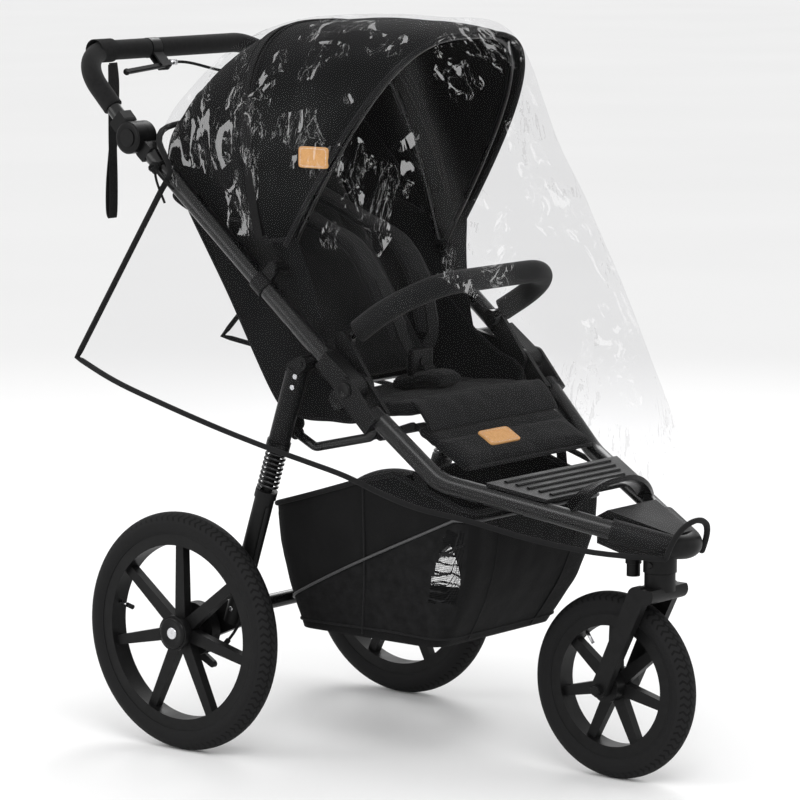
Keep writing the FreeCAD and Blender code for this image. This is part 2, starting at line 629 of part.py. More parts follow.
PLATE_REAR = 548.0
PLATE_FRONT = 634.0
corners = []
for f in (PLATE_REAR, PLATE_FRONT):
    x, z = tube_at(f)
    for side in (1, -1):
        corners.append(at(side * (x + 8), f, z + 16.6))
outline = [corners[0], corners[1], corners[3], corners[2]]
plate = Part.Face(Part.makePolygon(outline + outline[:1])).extrude(V(0, 0, 6))
for i in range(5):
    s = (i + 0.7) / 5.4
    f = PLATE_REAR + s * (PLATE_FRONT - PLATE_REAR)
    x, z = tube_at(f)
    plate = plate.fuse(rod(at(-x + 22, f, z + 21.5), at(x - 22, f, z + 21.5), 4))
save("footplate", plate.removeSplitter())
HOOP_F = 655.0
HOOP_WIDTH = 30.0
hx, hz = tube_at(HOOP_F)
hoop_points = [
    at(hx, HOOP_F, hz + 4),
    at(hx * 0.80, HOOP_F + 8, hz + 24),
    at(hx * 0.45, HOOP_F + 14, hz + 42),
    at(0, HOOP_F + 16, hz + 47),
    at(-hx * 0.45, HOOP_F + 14, hz + 42),
    at(-hx * 0.80, HOOP_F + 8, hz + 24),
    at(-hx, HOOP_F, hz + 4),
]
hoop = strap(hoop_points, V(0, -0.97, 0.24), HOOP_WIDTH, 9)
solid_tube = sweep(route([socket, knee, nose_end], 70), TUBE_RADIUS)
hoop = hoop.cut(solid_tube).cut(mirrored(solid_tube))
hoop = max(hoop.Solids, key=lambda s: s.Volume)
save("front_hoop", hoop)

# ---------------------------------------------------------------- seat frame
RAIL_X = 199.0
RAIL_RADIUS = 7.5
rail_points = [at(RAIL_X, 330, 606), at(RAIL_X, 341, 549), at(RAIL_X, 213, 519), at(RAIL_X, 174, 538)]
rail = sweep(route(rail_points, 18), RAIL_RADIUS)
cross_a = rod_x(218, 520.2, 6, -RAIL_X, RAIL_X)
cross_b = rod_x(330, 546.4, 6, -RAIL_X, RAIL_X)
seat_frame = join([rail, mirrored(rail), cross_a, cross_b])
save("seat_frame", seat_frame)
mount = link((FOLD_F - 2, FOLD_Z + 2), 20, (BUMPER_F, BUMPER_Z), 14, 199.5, CHEEK_IN_0)
mount = mount.cut(rail)
mount = mount.fuse(rod_x(BUMPER_F, BUMPER_Z, 5, 184, 200)).removeSplitter()
save("bumper_mounts", pair(mount))
recline_pin = link((174, 538), 10, (RECLINE_F, RECLINE_Z), 11, 193, 205).cut(rail)
recline_pin = recline_pin.fuse(rod_x(RECLINE_F, RECLINE_Z, 5, 176, 193)).removeSplitter()
save("recline_brackets", pair(recline_pin))

# bumper bar
start = heading(BUMPER_ANGLE) * 24
reach_v = heading(BUMPER_ANGLE) * BUMPER_REACH
lug_x = 191.0
bumper_line = [
    at(lug_x, BUMPER_F, BUMPER_Z) + start,
    at(BUMPER_HALF_WIDTH, BUMPER_F, BUMPER_Z) + reach_v,
    at(-BUMPER_HALF_WIDTH, BUMPER_F, BUMPER_Z) + reach_v,
    at(-lug_x, BUMPER_F, BUMPER_Z) + start,
]
bumper_path = route(bumper_line, 105)
core = sweep(bumper_path, 8)
foam = sweep(bumper_path, FOAM_RADIUS).cut(core)
foam = foam.cut(rod_x(BUMPER_F, BUMPER_Z, 34, -260, 260))
lug = rod_x(BUMPER_F, BUMPER_Z, 13, 185, 198.5)
lug = lug.fuse(rod(at(lug_x, BUMPER_F, BUMPER_Z), at(lug_x, BUMPER_F, BUMPER_Z) + start, 6.5))
bar_core = join([core, lug, mirrored(lug)])
bar_core = bar_core.cut(rod_x(BUMPER_F, BUMPER_Z, 5 + RUNNING, -260, 260))
save("bumper_bar", bar_core)
save("bumper_foam", foam.cut(bar_core))

# ---------------------------------------------------------------- seat
cushion = slab([(172, 556), (394, 582), (398, 606), (330, 602), (168, 592)], -SEAT_HALF_WIDTH, SEAT_HALF_WIDTH)
seat_pad = rounded(cushion, 8)
save("seat_cushion", seat_pad)
panel = slab([(-66, 926), (-72, 908), (146, 566), (176, 560), (300, 566), (342, 612), (286, 640), (206, 704), (-40, 904)],
             SIDE_PANEL_X, SIDE_PANEL_X + 3)
panel = panel.cut(link((174, 538), 12, (RECLINE_F, RECLINE_Z), 13, 170, 210))
panel = panel.cut(rod_x(BUMPER_F, BUMPER_Z, 40, 150, 210))
panel = panel.cut(sweep(route(rail_points, 18), RAIL_RADIUS + 1))
save("seat_sides", pair(panel))

lean = unit(at(0, -78, 934) - at(0, 140, 600))
face = V(1, 0, 0).cross(lean)
if face.y > 0:
    face = face * -1
BACK_LENGTH = 392.0
back_foot = at(0, 142, 598)


def back_plate(start, length, half, depth, offset):
    a = back_foot + lean * start + face * offset
    p = [a, a + lean * length, a + lean * length + face * depth, a + face * depth]
    solid = Part.Face(Part.makePolygon(p + p[:1])).extrude(V(2 * half, 0, 0))
    solid.translate(V(-half, 0, 0))
    return solid


shell_plate = back_plate(0, BACK_LENGTH, BACK_HALF_WIDTH, 9, -9)
tab = link((RECLINE_F, RECLINE_Z), 12, (140, 604), 12, 178, 186.5)
shell_plate = shell_plate.fuse(tab).fuse(mirrored(tab))
shell_plate = shell_plate.cut(rod_x(RECLINE_F, RECLINE_Z, 5 + RUNNING, -260, 260)).removeSplitter()
save("backrest_shell", shell_plate)
back_pad = rounded(back_plate(4, BACK_LENGTH - 8, 168, 30, 0.0), 10)
back_pad = back_pad.cut(shell_plate)
save("backrest_pad", back_pad)

# harness: two shoulder pads and straps, joined at the crotch buckle
HARNESS_X = 58.0
shoulder = [
    back_foot + lean * 300 + face * 42 + V(HARNESS_X, 0, 0),
    at(HARNESS_X, 100, 868),
    at(HARNESS_X, 176, 836),
    at(HARNESS_X - 2, 222, 780),
    at(HARNESS_X - 12, 246, 722),
    at(HARNESS_X - 20, 258, 688),
]
shoulder_pad = strap(shoulder, V(1, 0, 0), 54, 14)
save("harness_pads", pair(shoulder_pad))
buckle = Part.makeBox(56, 14, 46, at(-28, 279, 620))
buckle = rounded(buckle, 4)
BUCKLE_BUTTON = 10.0
pocket = rod(at(0, 272, 643), at(0, 290, 643), BUCKLE_BUTTON + 0.3)
buckle = buckle.cut(pocket)
save("buckle", buckle)
button = rod(at(0, 275.5, 643), at(0, 281.5, 643), BUCKLE_BUTTON)
save("buckle_button", button)
crotch = strap([at(0, 287, 634), at(0, 292, 624), at(0, 292, 614), at(0, 289, 607)], V(1, 0, 0), 44, 8)
crotch = crotch.cut(buckle).cut(seat_pad)
save("crotch_strap", crotch)

# legrest
LEG_ANGLE = -30.0
leg_heading = heading(LEG_ANGLE)
leg_normal = heading(LEG_ANGLE + 90)
a = at(0, LEGREST_F, LEGREST_Z) + leg_heading * 12 - leg_normal * 4
p = [a, a + leg_heading * 112, a + leg_heading * 112 + leg_normal * 16, a + leg_normal * 16]
legrest = Part.Face(Part.makePolygon(p + p[:1])).extrude(V(2 * 171, 0, 0))
legrest.translate(V(-171, 0, 0))
legrest = rounded(legrest, 6)
eye = rod_x(LEGREST_F, LEGREST_Z, 8, 140, 165).fuse(link((LEGREST_F, LEGREST_Z), 8, (LEGREST_F + 20, LEGREST_Z - 11), 6, 140, 165))
legrest = legrest.fuse(eye).fuse(mirrored(eye))
legrest = legrest.cut(rod_x(LEGREST_F, LEGREST_Z, 4 + RUNNING, -200, 200)).removeSplitter()
save("legrest", legrest)
hanger = link((LEGREST_F, LEGREST_Z), 7, (346, 549), 8, 166, 172)
hanger = hanger.fuse(rod_x(LEGREST_F, LEGREST_Z, 4, 139, 166))
hanger = hanger.fuse(rod_x(330, 546.4, 9, 160, 176)).fuse(link((346, 549), 8, (330, 546.4), 9, 166, 172))
hanger = hanger.cut(seat_frame).removeSplitter()
save("legrest_hangers", pair(max(hanger.Solids, key=lambda s: s.Volume)))

# ---------------------------------------------------------------- basket


def basket_ring(z, f0, f1, half, radius):
    pts = [at(half, f0, z), at(half, f1, z), at(-half, f1, z), at(-half, f0, z)]
    mid = (pts[3] + pts[0]) * 0.5
    wire = route([mid] + pts + [mid], radius)
    return wire


levels = [(205, 134, 436, 158, 34), (300, 112, 492, 172, 34), (380, 100, 516, 180, 34), (502, 90, 524, 182, 34)]
outer = Part.makeLoft([basket_ring(*l) for l in levels], True, False)
w = BASKET_WALL
inner_levels = [(z + (w if z < 210 else 0.01), f0 + w, f1 - w, half - w, r) for z, f0, f1, half, r in levels]
inner = Part.makeLoft([basket_ring(*l) for l in inner_levels], True, False)
basket = outer.cut(inner)
rim_cut = slab([(60, 405), (366, 492), (560, 432), (560, 600), (60, 600)], -250, 250)
basket = basket.cut(rim_cut)
basket = max(basket.Solids, key=lambda s: s.Volume)
save("basket", basket)

# ---------------------------------------------------------------- canopy
CLIP_X0 = 229.4
CLIP_X1 = 237.6
hub_pin = rod_x(CANOPY_F, CANOPY_Z, 5, MID_BOW[1] - BOW_RADIUS, CLIP_X1 + 3)
carrier = rod_x(CANOPY_F, CANOPY_Z, 9, FRONT_BOW[1] + BOW_RADIUS + GAP, CLIP_X0 - GAP)
carrier = carrier.fuse(rod_x(CANOPY_F, CANOPY_Z, 9, CLIP_X1 + GAP, CLIP_X1 + 3)).fuse(hub_pin).removeSplitter()
save("canopy_pins", pair(carrier))
tube_line = at(MAIN_X, TILT_F, TILT_Z)
foot_s = (at(MAIN_X, CANOPY_F, CANOPY_Z) - tube_line).dot(tube_dir)
foot_p = tube_line + tube_dir * foot_s
clip_f = REAR_AXLE_Y - foot_p.y
clip = rod(foot_p - tube_dir * 13, foot_p + tube_dir * 13, TUBE_RADIUS + 3)
clip = clip.fuse(link((CANOPY_F, CANOPY_Z), 11, (clip_f, foot_p.z), 12, CLIP_X0, CLIP_X1))
clip = clip.cut(rod(foot_p - tube_dir * 100, foot_p + tube_dir * 100, TUBE_RADIUS))
clip = clip.cut(rod_x(CANOPY_F, CANOPY_Z, 5 + RUNNING, 220, 245)).removeSplitter()
save("canopy_clips", pair(clip))

hub = (CANOPY_F, CANOPY_Z)
for name, spec in (("canopy_front_bow", FRONT_BOW), ("canopy_mid_bow", MID_BOW)):
    angle, half, height, power = spec
    lug0 = half - BOW_RADIUS + 0.4
    lug1 = half + BOW_RADIUS - 0.4
    bow = sweep(smooth(arch(angle, half, height, power, 33, 0.0, hub)), BOW_RADIUS)
    lug = rod_x(CANOPY_F, CANOPY_Z, 11, lug0, lug1)
    bow = join([bow, lug, mirrored(lug)])
    bow = bow.cut(rod_x(CANOPY_F, CANOPY_Z, 5 + RUNNING, -270, 270)).removeSplitter()
    save(name, bow)


def canopy_row(angle, half, height, power, start=42.0):
    lift = math.asin((start / height) ** (power / 2))
    return even(arch(angle, half, height, power, 91, lift, hub), 45)


grow = FABRIC_LIFT + FABRIC_THICKNESS
inside = at(0, CANOPY_F, CANOPY_Z)
front_rows = [
    canopy_row(FRONT_BOW[0] - 1.4, FRONT_CLOTH[0] + grow, FRONT_CLOTH[1] + grow, 3.1),
    canopy_row(66, FRONT_CLOTH[0] + grow + 2, FRONT_CLOTH[1] + grow - 19, 3.05),
    canopy_row(74, FRONT_CLOTH[0] + grow + 5, FRONT_CLOTH[1] + grow - 37, 3.0),
    canopy_row(83, FRONT_CLOTH[0] + grow + 10, MID_CLOTH[1] + grow - 4, 3.0),
    canopy_row(92, MID_CLOTH[0] + grow - 5, MID_CLOTH[1] + grow - 7, 2.9),
    canopy_row(MID_BOW[0] - 1.2, MID_CLOTH[0] + grow, MID_CLOTH[1] + grow + 1, 2.8),
]
save("canopy_front_cloth", facet_skin(front_rows, FABRIC_THICKNESS, inside))
rear_rows = [
    canopy_row(MID_BOW[0] + 0.6, MID_CLOTH[0] + grow, MID_CLOTH[1] + grow + 1, 2.8, 70),
    canopy_row(112, MID_CLOTH[0] + grow, MID_CLOTH[1] + 7, 2.8, 70),
    canopy_row(121, 241, 388, 3.2, 70),
    canopy_row(130, 230, 372, 4.2, 70),
    canopy_row(137, 215, 360, 6.0, 70),
    canopy_row(144, 211, 350, 8.0, 70),
    canopy_row(152, 209, 322, 10.0, 70),
    canopy_row(159, 208, 288, 10.0, 70),
]
save("canopy_rear_cloth", facet_skin(rear_rows, FABRIC_THICKNESS, inside))

# ---------------------------------------------------------------- rain cover


def cover_row(angle, half, height, power, bottom):
    # over the canopy down to the pivot height, then straight to the bottom seam
    side = []
    for t in range(90, 21, -4):
        t = math.radians(t)
        x = half * max(math.cos(t), 0.0) ** (2 / power) if t < 1.57 else 0.0
        side.append(at(x, *hub) + heading(angle) * (height * math.sin(t) ** (2 / power)))
    side.append(at(*bottom))
    return even(side, COVER_STEPS)


def apron_row(top, bottom):
    # across the front window from the centre to the bottom seam
    a, b = at(*top), at(*bottom)
    side = []
    for i in range(21):
        s = i / 20
        p = a + (b - a) * s ** 1.7
        side.append(V(b.x * (1 - (1 - s) ** 2.4), p.y, p.z))
    return even(side, COVER_STEPS)


halves = [
    cover_row(143, 267, 366, 5.0, (188, -332, 620)),
    cover_row(134, 267, 382, 4.4, (222, -215, 594)),
    cover_row(124, 267, 400, 3.6, (244, -90, 570)),
    cover_row(113, 268, 411, 3.2, (262, 50, 544)),
    cover_row(101, 268, 412, 3.0, (264, 160, 522)),
    cover_row(88, 267, 409, 3.0, (264, 250, 506)),
    cover_row(73, 264, 428, 3.0, (264, 330, 491)),
    cover_row(59, 263, 457, 3.0, (260, 405, 470)),
    apron_row((0, 460, 1064), (252, 470, 452)),
    apron_row((0, 560, 908), (216, 552, 434)),
    apron_row((0, 655, 752), (172, 630, 410)),
    apron_row((0, 750, 600), (120, 712, 388)),
    apron_row((0, 842, 452), (68, 794, 370)),
]
cover_rows = [[V(-p.x, p.y, p.z) for p in half[:0:-1]] + half for half in halves]
save("rain_cover", facet_skin(cover_rows, FILM, at(0, 250, 620)))
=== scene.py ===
import bpy, bmesh, math, random
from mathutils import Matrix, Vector, noise


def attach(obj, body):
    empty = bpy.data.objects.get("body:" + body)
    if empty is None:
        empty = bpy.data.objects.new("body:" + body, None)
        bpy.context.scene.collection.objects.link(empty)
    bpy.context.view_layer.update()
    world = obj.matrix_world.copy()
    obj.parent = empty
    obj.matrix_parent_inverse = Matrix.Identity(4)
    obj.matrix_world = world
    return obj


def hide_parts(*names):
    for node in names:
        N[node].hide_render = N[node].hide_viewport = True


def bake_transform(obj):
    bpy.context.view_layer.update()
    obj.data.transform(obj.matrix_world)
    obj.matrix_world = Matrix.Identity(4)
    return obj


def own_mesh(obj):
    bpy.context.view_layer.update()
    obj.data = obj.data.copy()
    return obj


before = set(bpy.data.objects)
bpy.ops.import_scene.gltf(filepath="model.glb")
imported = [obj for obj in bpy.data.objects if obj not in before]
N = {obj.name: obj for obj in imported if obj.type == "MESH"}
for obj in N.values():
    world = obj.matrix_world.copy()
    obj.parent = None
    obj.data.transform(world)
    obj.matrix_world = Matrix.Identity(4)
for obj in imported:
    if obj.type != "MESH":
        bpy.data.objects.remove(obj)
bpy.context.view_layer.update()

RY = 0.255


def P(x, f, z):
    return Vector((x / 1000, RY - f / 1000, z / 1000))


def head(a):
    a = math.radians(a)
    return Vector((0, -math.cos(a), math.sin(a)))


# ------------------------------------------------------------ node helpers
class Mat:
    """A small builder for node materials."""

    def __init__(self, name):
        self.m = bpy.data.materials.new(name)
        self.m.use_nodes = True
        self.t = self.m.node_tree
        self.b = self.t.nodes["Principled BSDF"]
        self.out = self.t.nodes["Material Output"]
        self.co = self.t.nodes.new("ShaderNodeTexCoord").outputs["Object"]

    def set(self, **k):
        for key, v in k.items():
            self.b.inputs[key.replace("_", " ")].default_value = v
        return self

    def node(self, kind, **k):
        n = self.t.nodes.new(kind)
        for key, v in k.items():
            if key in n.inputs:
                n.inputs[key].default_value = v
            elif key.replace("_", " ") in n.inputs:
                n.inputs[key.replace("_", " ")].default_value = v
            else:
                setattr(n, key, v)
        return n

    def link(self, a, b):
        self.t.links.new(a, b)

    def math(self, op, a, b=None, c=None, clamp=False):
        n = self.t.nodes.new("ShaderNodeMath")
        n.operation = op
        n.use_clamp = clamp
        for i, v in enumerate((a, b, c)):
            if v is None:
                continue
            if hasattr(v, "type"):
                self.link(v, n.inputs[i])
            else:
                n.inputs[i].default_value = v
        return n.outputs[0]

    def noise(self, scale, detail=2.0, rough=0.5, vec=None, dist=0.0):
        n = self.node("ShaderNodeTexNoise", Scale=scale, Detail=detail, Roughness=rough, Distortion=dist)
        self.link(vec or self.co, n.inputs["Vector"])
        return n.outputs["Fac"]

    def wave(self, scale, direction, vec=None, dist=0.0):
        n = self.node("ShaderNodeTexWave", Scale=scale, Distortion=dist)
        n.bands_direction = direction
        self.link(vec or self.co, n.inputs["Vector"])
        return n.outputs["Fac"]

    def ramp(self, fac, stops):
        n = self.t.nodes.new("ShaderNodeValToRGB")
        self.link(fac, n.inputs["Fac"])
        e = n.color_ramp.elements
        while len(e) < len(stops):
            e.new(0.5)
        for el, (p, c) in zip(e, stops):
            el.position = p
            el.color = c if len(c) == 4 else (*c, 1)
        return n.outputs["Color"]

    def bump(self, height, strength, distance, normal=None):
        n = self.node("ShaderNodeBump", Strength=strength, Distance=distance)
        self.link(height, n.inputs["Height"])
        if normal is not None:
            self.link(normal, n.inputs["Normal"])
        return n.outputs["Normal"]

    def mapping(self, loc=(0, 0, 0), rot=(0, 0, 0), scale=(1, 1, 1)):
        n = self.t.nodes.new("ShaderNodeMapping")
        n.inputs["Location"].default_value = loc
        n.inputs["Rotation"].default_value = rot
        n.inputs["Scale"].default_value = scale
        self.link(self.co, n.inputs["Vector"])
        return n.outputs["Vector"]

    def to(self, sock, name):
        self.link(sock, self.b.inputs[name])
        return self


def g(v):
    return (v, v, v * 1.03, 1)


def tube_paint():
    k = Mat("m_tube").set(Metallic=0.0, Specular_IOR_Level=0.32, Coat_Weight=0.10, Coat_Roughness=0.10)
    n = k.noise(90, 4, 0.6)
    k.to(k.ramp(n, [(0.3, g(0.0025)), (0.7, g(0.0045))]), "Base Color")
    k.to(k.ramp(k.noise(25, 3), [(0.3, g(0.24)), (0.75, g(0.33))]), "Roughness")
    return k.to(k.bump(k.noise(1600, 2), 0.06, 0.0003), "Normal").m


def plastic(name, lo, hi, rough, grain=900, strength=0.22):
    k = Mat(name).set(Specular_IOR_Level=0.14)
    n = k.noise(60, 5, 0.65)
    k.to(k.ramp(n, [(0.3, g(lo)), (0.72, g(hi))]), "Base Color")
    k.to(k.ramp(k.noise(18, 4), [(0.3, g(rough - 0.06)), (0.7, g(rough + 0.07))]), "Roughness")
    h = k.noise(grain, 2, 0.6)
    return k.to(k.bump(h, strength, 0.0004), "Normal").m


def foam():
    k = Mat("m_foam").set(Specular_IOR_Level=0.12, Sheen_Weight=0.06, Sheen_Roughness=0.5)
    k.to(k.ramp(k.noise(120, 5, 0.7), [(0.3, g(0.0055)), (0.7, g(0.0105))]), "Base Color")
    k.set(Roughness=0.85)
    h = k.math("ADD", k.noise(1400, 3, 0.7), k.math("MULTIPLY", k.noise(260, 2), 0.5))
    return k.to(k.bump(h, 0.5, 0.0006), "Normal").m


def fabric(name, lo, hi, scale=1500, sheen=0.05, melange=0.35, strength=0.5):
    """Plain weave: crossed yarns read from the object's own coordinates."""
    k = Mat(name).set(Specular_IOR_Level=0.08, Sheen_Weight=sheen, Sheen_Roughness=0.45, Roughness=0.92)
    v = k.mapping(rot=(0.5, 0.35, 0.2))
    warp = k.wave(scale / 6.2832 * 3, "X", v, 0.6)
    weft = k.wave(scale / 6.2832 * 3, "DIAGONAL", v, 0.6)
    weave = k.math("MULTIPLY", warp, weft)
    slub = k.noise(scale * 0.5, 3, 0.7, k.mapping(scale=(1, 0.25, 0.6)))
    cloud = k.noise(9, 3)
    mix = k.math("ADD", k.math("MULTIPLY", slub, melange), k.math("MULTIPLY", cloud, 1 - melange))
    k.to(k.ramp(mix, [(0.3, g(lo)), (0.72, g(hi))]), "Base Color")
    h = k.math("ADD", weave, k.math("MULTIPLY", slub, 0.6))
    fine = k.bump(h, strength, 0.0005)
    soft = k.bump(k.noise(26, 3, 0.55), 0.35, 0.004, fine)
    return k.to(soft, "Normal").m


def mesh_cloth(name, holes, dark=0.006):
    """Knitted net: a honeycomb of small holes."""
    k = Mat(name).set(Specular_IOR_Level=0.1, Roughness=0.85)
    v = k.mapping(scale=(1, 1, 0.8))
    vor = k.node("ShaderNodeTexVoronoi", Scale=420.0, Randomness=0.12)
    vor.feature = "DISTANCE_TO_EDGE"
    k.link(v, vor.inputs["Vector"])
    d = vor.outputs["Distance"]
    k.to(k.ramp(k.noise(70, 4), [(0.3, g(dark)), (0.7, g(dark * 1.9))]), "Base Color")
    k.to(k.bump(k.math("MULTIPLY", d, -1.0), 0.8, 0.001), "Normal")
    if holes:
        solid = k.math("LESS_THAN", d, 0.10)
        k.to(solid, "Alpha")
    return k.m


def tyre_mat(name, centre, radius):
    """Air tyre: zigzag sipes and ribs on the crown, ring lines on the sidewall."""
    k = Mat(name).set(Specular_IOR_Level=0.12)
    v = k.mapping(loc=(-centre[0], -centre[1], -centre[2]))
    sep = k.t.nodes.new("ShaderNodeSeparateXYZ")
    k.link(v, sep.inputs[0])
    x, y, z = sep.outputs
    ang = k.math("ARCTAN2", z, y)
    r = k.math("SQRT", k.math("ADD", k.math("MULTIPLY", y, y), k.math("MULTIPLY", z, z)))
    ax = k.math("ABSOLUTE", x)
    count = round(2 * math.pi * radius / 0.013)
    zig = k.math("MULTIPLY", k.math("PINGPONG", k.math("MULTIPLY", ax, 1.0), 0.0055), 260)
    bars = k.math("SINE", k.math("ADD", k.math("MULTIPLY", ang, count), k.math("MULTIPLY", zig, 2.2)))
    groove = k.math("GREATER_THAN", bars, 0.55)
    zigline = k.math("ABSOLUTE", k.math("SUBTRACT", ax, k.math("ADD", 0.0062, k.math("MULTIPLY",
        k.math("SINE", k.math("MULTIPLY", ang, count)), 0.0014))))
    line = k.math("LESS_THAN", zigline, 0.0011)
    crown = k.math("GREATER_THAN", r, radius - 0.0125)
    cut = k.math("MULTIPLY", k.math("MAXIMUM", groove, line), crown)
    rings = k.math("MULTIPLY", k.math("GREATER_THAN", k.math("SINE", k.math("MULTIPLY", r, 2900)),
        0.75), k.math("LESS_THAN", r, radius - 0.017))
    height = k.math("SUBTRACT", 1.0, k.math("ADD", cut, k.math("MULTIPLY", rings, 0.35)), clamp=True)
    dust = k.noise(45, 5, 0.65, v)
    # Painted shade: the base colour is darkened in the tread grooves and sidewall rings, then varied by a
    # random dust tone.
    base = k.math("MULTIPLY", k.math("ADD", 0.35, k.math("MULTIPLY", height, 0.65)), k.math("ADD", 0.6, dust))
    k.to(k.ramp(base, [(0.2, g(0.002)), (1.0, g(0.011))]), "Base Color")
    k.set(Roughness=0.72)
    n = k.bump(k.noise(900, 2), 0.15, 0.0003)
    return k.to(k.bump(height, 0.9, 0.0016, n), "Normal").m


def leather():
    k = Mat("m_tag").set(Specular_IOR_Level=0.25, Roughness=0.62)
    n = k.noise(140, 6, 0.7)
    k.to(k.ramp(n, [(0.25, (0.50, 0.25, 0.085, 1)), (0.75, (0.66, 0.36, 0.14, 1))]), "Base Color")
    vor = k.node("ShaderNodeTexVoronoi", Scale=1100.0)
    k.link(k.co, vor.inputs["Vector"])
    return k.to(k.bump(vor.outputs["Distance"], 0.35, 0.0004), "Normal").m


def metal(name, lo, hi, rough, metallic=1.0):
    k = Mat(name).set(Metallic=metallic)
    k.to(k.ramp(k.noise(200, 4, 0.6), [(0.3, g(lo)), (0.7, g(hi))]), "Base Color")
    k.to(k.ramp(k.noise(320, 3), [(0.3, g(rough)), (0.7, g(rough + 0.12))]), "Roughness")
    return k.to(k.bump(k.noise(1500, 2), 0.08, 0.0002), "Normal").m


def film():
    """Clear sheet: mostly transparent with a faint grey cast, a faint real gloss, and sharp scattered glints
    that are painted highlights (white diffuse patches), not reflections.
    """
    k = Mat("m_film")
    t = k.t
    clear = t.nodes.new("ShaderNodeBsdfTransparent")
    clear.inputs["Color"].default_value = (0.935, 0.935, 0.938, 1)
    gloss = t.nodes.new("ShaderNodeBsdfGlossy")
    gloss.inputs["Color"].default_value = (1, 1, 1, 1)
    gloss.inputs["Roughness"].default_value = 0.12
    v = k.mapping(rot=(0.35, 0.2, 0.6), scale=(1.0, 1.6, 0.55))
    crease = k.noise(13, 5, 0.62, v, 1.9)
    k.link(k.bump(crease, 0.25, 0.01), gloss.inputs["Normal"])
    m1 = t.nodes.new("ShaderNodeMixShader")
    m1.inputs[0].default_value = 0.004
    k.link(clear.outputs[0], m1.inputs[1])
    k.link(gloss.outputs[0], m1.inputs[2])
    # Painted highlight: a white diffuse shader mixed in over a fixed noise mask of crease lines and shards. It
    # paints the film's glints, grey over dark parts and white over the backdrop; it reflects nothing.
    white_glint_shader = t.nodes.new("ShaderNodeBsdfDiffuse")
    white_glint_shader.inputs["Color"].default_value = (0.95, 0.95, 0.95, 1)
    band = k.math("ABSOLUTE", k.math("SUBTRACT", crease, 0.53))
    thin = k.math("LESS_THAN", band, 0.0055)
    patch = k.math("GREATER_THAN", k.noise(7.5, 2, 0.5, k.mapping(loc=(0.3, 0.1, 0.2)), 0.4), 0.545)
    shard = k.math("GREATER_THAN", k.noise(17, 3, 0.55, v, 2.2), 0.60)
    sep = t.nodes.new("ShaderNodeSeparateXYZ")
    k.link(k.co, sep.inputs[0])
    # The painted glints are kept to the upper parts and the far side of the cover.
    high = k.math("GREATER_THAN", k.math("ADD", sep.outputs[2], k.math("MULTIPLY", sep.outputs[0], 1.2)), 0.56)
    painted_glint_mask = k.math("MULTIPLY", k.math("MULTIPLY", k.math("MAXIMUM", thin, shard), patch), high)
    m2 = t.nodes.new("ShaderNodeMixShader")
    k.link(k.math("MULTIPLY", painted_glint_mask, 0.22), m2.inputs[0])
    k.link(m1.outputs[0], m2.inputs[1])
    k.link(white_glint_shader.outputs[0], m2.inputs[2])
    t.nodes.remove(k.b)
    k.link(m2.outputs[0], k.out.inputs["Surface"])
    return k.m


M = {
    "tube": tube_paint(),
    "plastic": plastic("m_plastic", 0.0035, 0.0065, 0.40),
    "casting": plastic("m_casting", 0.004, 0.0075, 0.46, 700, 0.3),
    "gloss": plastic("m_gloss_plastic", 0.004, 0.007, 0.22, 1500, 0.08),
    "foam": foam(),
    "canopy": fabric("m_canopy_cloth", 0.0035, 0.0065, 1700, 0.03),
    "seat": fabric("m_seat_cloth", 0.0065, 0.0125, 1500, 0.06, 0.55),
    "liner": fabric("m_seat_liner", 0.0075, 0.014, 1300, 0.07, 0.6),
    "side": fabric("m_side_cloth", 0.005, 0.009, 1500, 0.04),
    "pipe": fabric("m_piping", 0.009, 0.015, 2400, 0.05, 0.5, 0.3),
    "web": fabric("m_webbing", 0.006, 0.011, 3000, 0.05, 0.5, 0.7),
    "net": mesh_cloth("m_net_side", False),
    "window": mesh_cloth("m_net_window", True, 0.01),
    "reflect": metal("m_reflective_piping", 0.045, 0.07, 0.35, 0.2),
    "tag": leather(),
    "steel": metal("m_blued_spring", 0.03, 0.05, 0.22),
    "zinc": metal("m_bright_zinc", 0.5, 0.7, 0.2),
    "lever": plastic("m_lever_coat", 0.006, 0.010, 0.33, 1200, 0.12),
    "film": film(),
}
half = 0.2885
M["tyre_l"] = tyre_mat("m_tyre_left", (half, RY, 0.2), 0.2)
M["tyre_r"] = tyre_mat("m_tyre_right", (-half, RY, 0.2), 0.2)
M["tyre_f"] = tyre_mat("m_tyre_front", (0, RY - 0.677, 0.153), 0.153)


def paint(obj, mat):
    obj.data.materials.clear()
    obj.data.materials.append(mat)


def cad(mat, *names):
    for n in names:
        paint(N[n], M[mat])


cad("tube", "front_tube_left", "front_tube_right", "main_tube_left", "main_tube_right", "handlebar",
    "seat_frame",
    "rear_crossbar", "canopy_front_bow", "canopy_mid_bow", "bumper_bar")
cad("plastic", "fold_castings", "fold_arms", "handle_hubs", "handle_clevises", "canopy_clips", "canopy_pins",
    "bumper_mounts", "recline_brackets", "legrest_hangers", "parking_pedal", "swivel_knob", "backrest_shell",
    "buckle", "buckle_button", "tilt_button_left", "tilt_button_right", "rear_legs")
cad("gloss", "front_hoop")
cad("casting", "nose_casting", "footplate", "axle_castings", "fork", "lower_legs", "rear_wheel_left",
    "rear_wheel_right", "front_wheel")
cad("lever", "lever_clamp", "brake_lever", "brake_arm_left", "brake_arm_right", "front_axle")
cad("steel", "suspension_springs")
cad("foam", "handle_grips", "bumper_foam")
cad("pipe", "brake_cable_upper", "brake_cables_lower")
cad("tyre_l", "rear_tyre_left")
cad("tyre_r", "rear_tyre_right")
cad("tyre_f", "front_tyre")
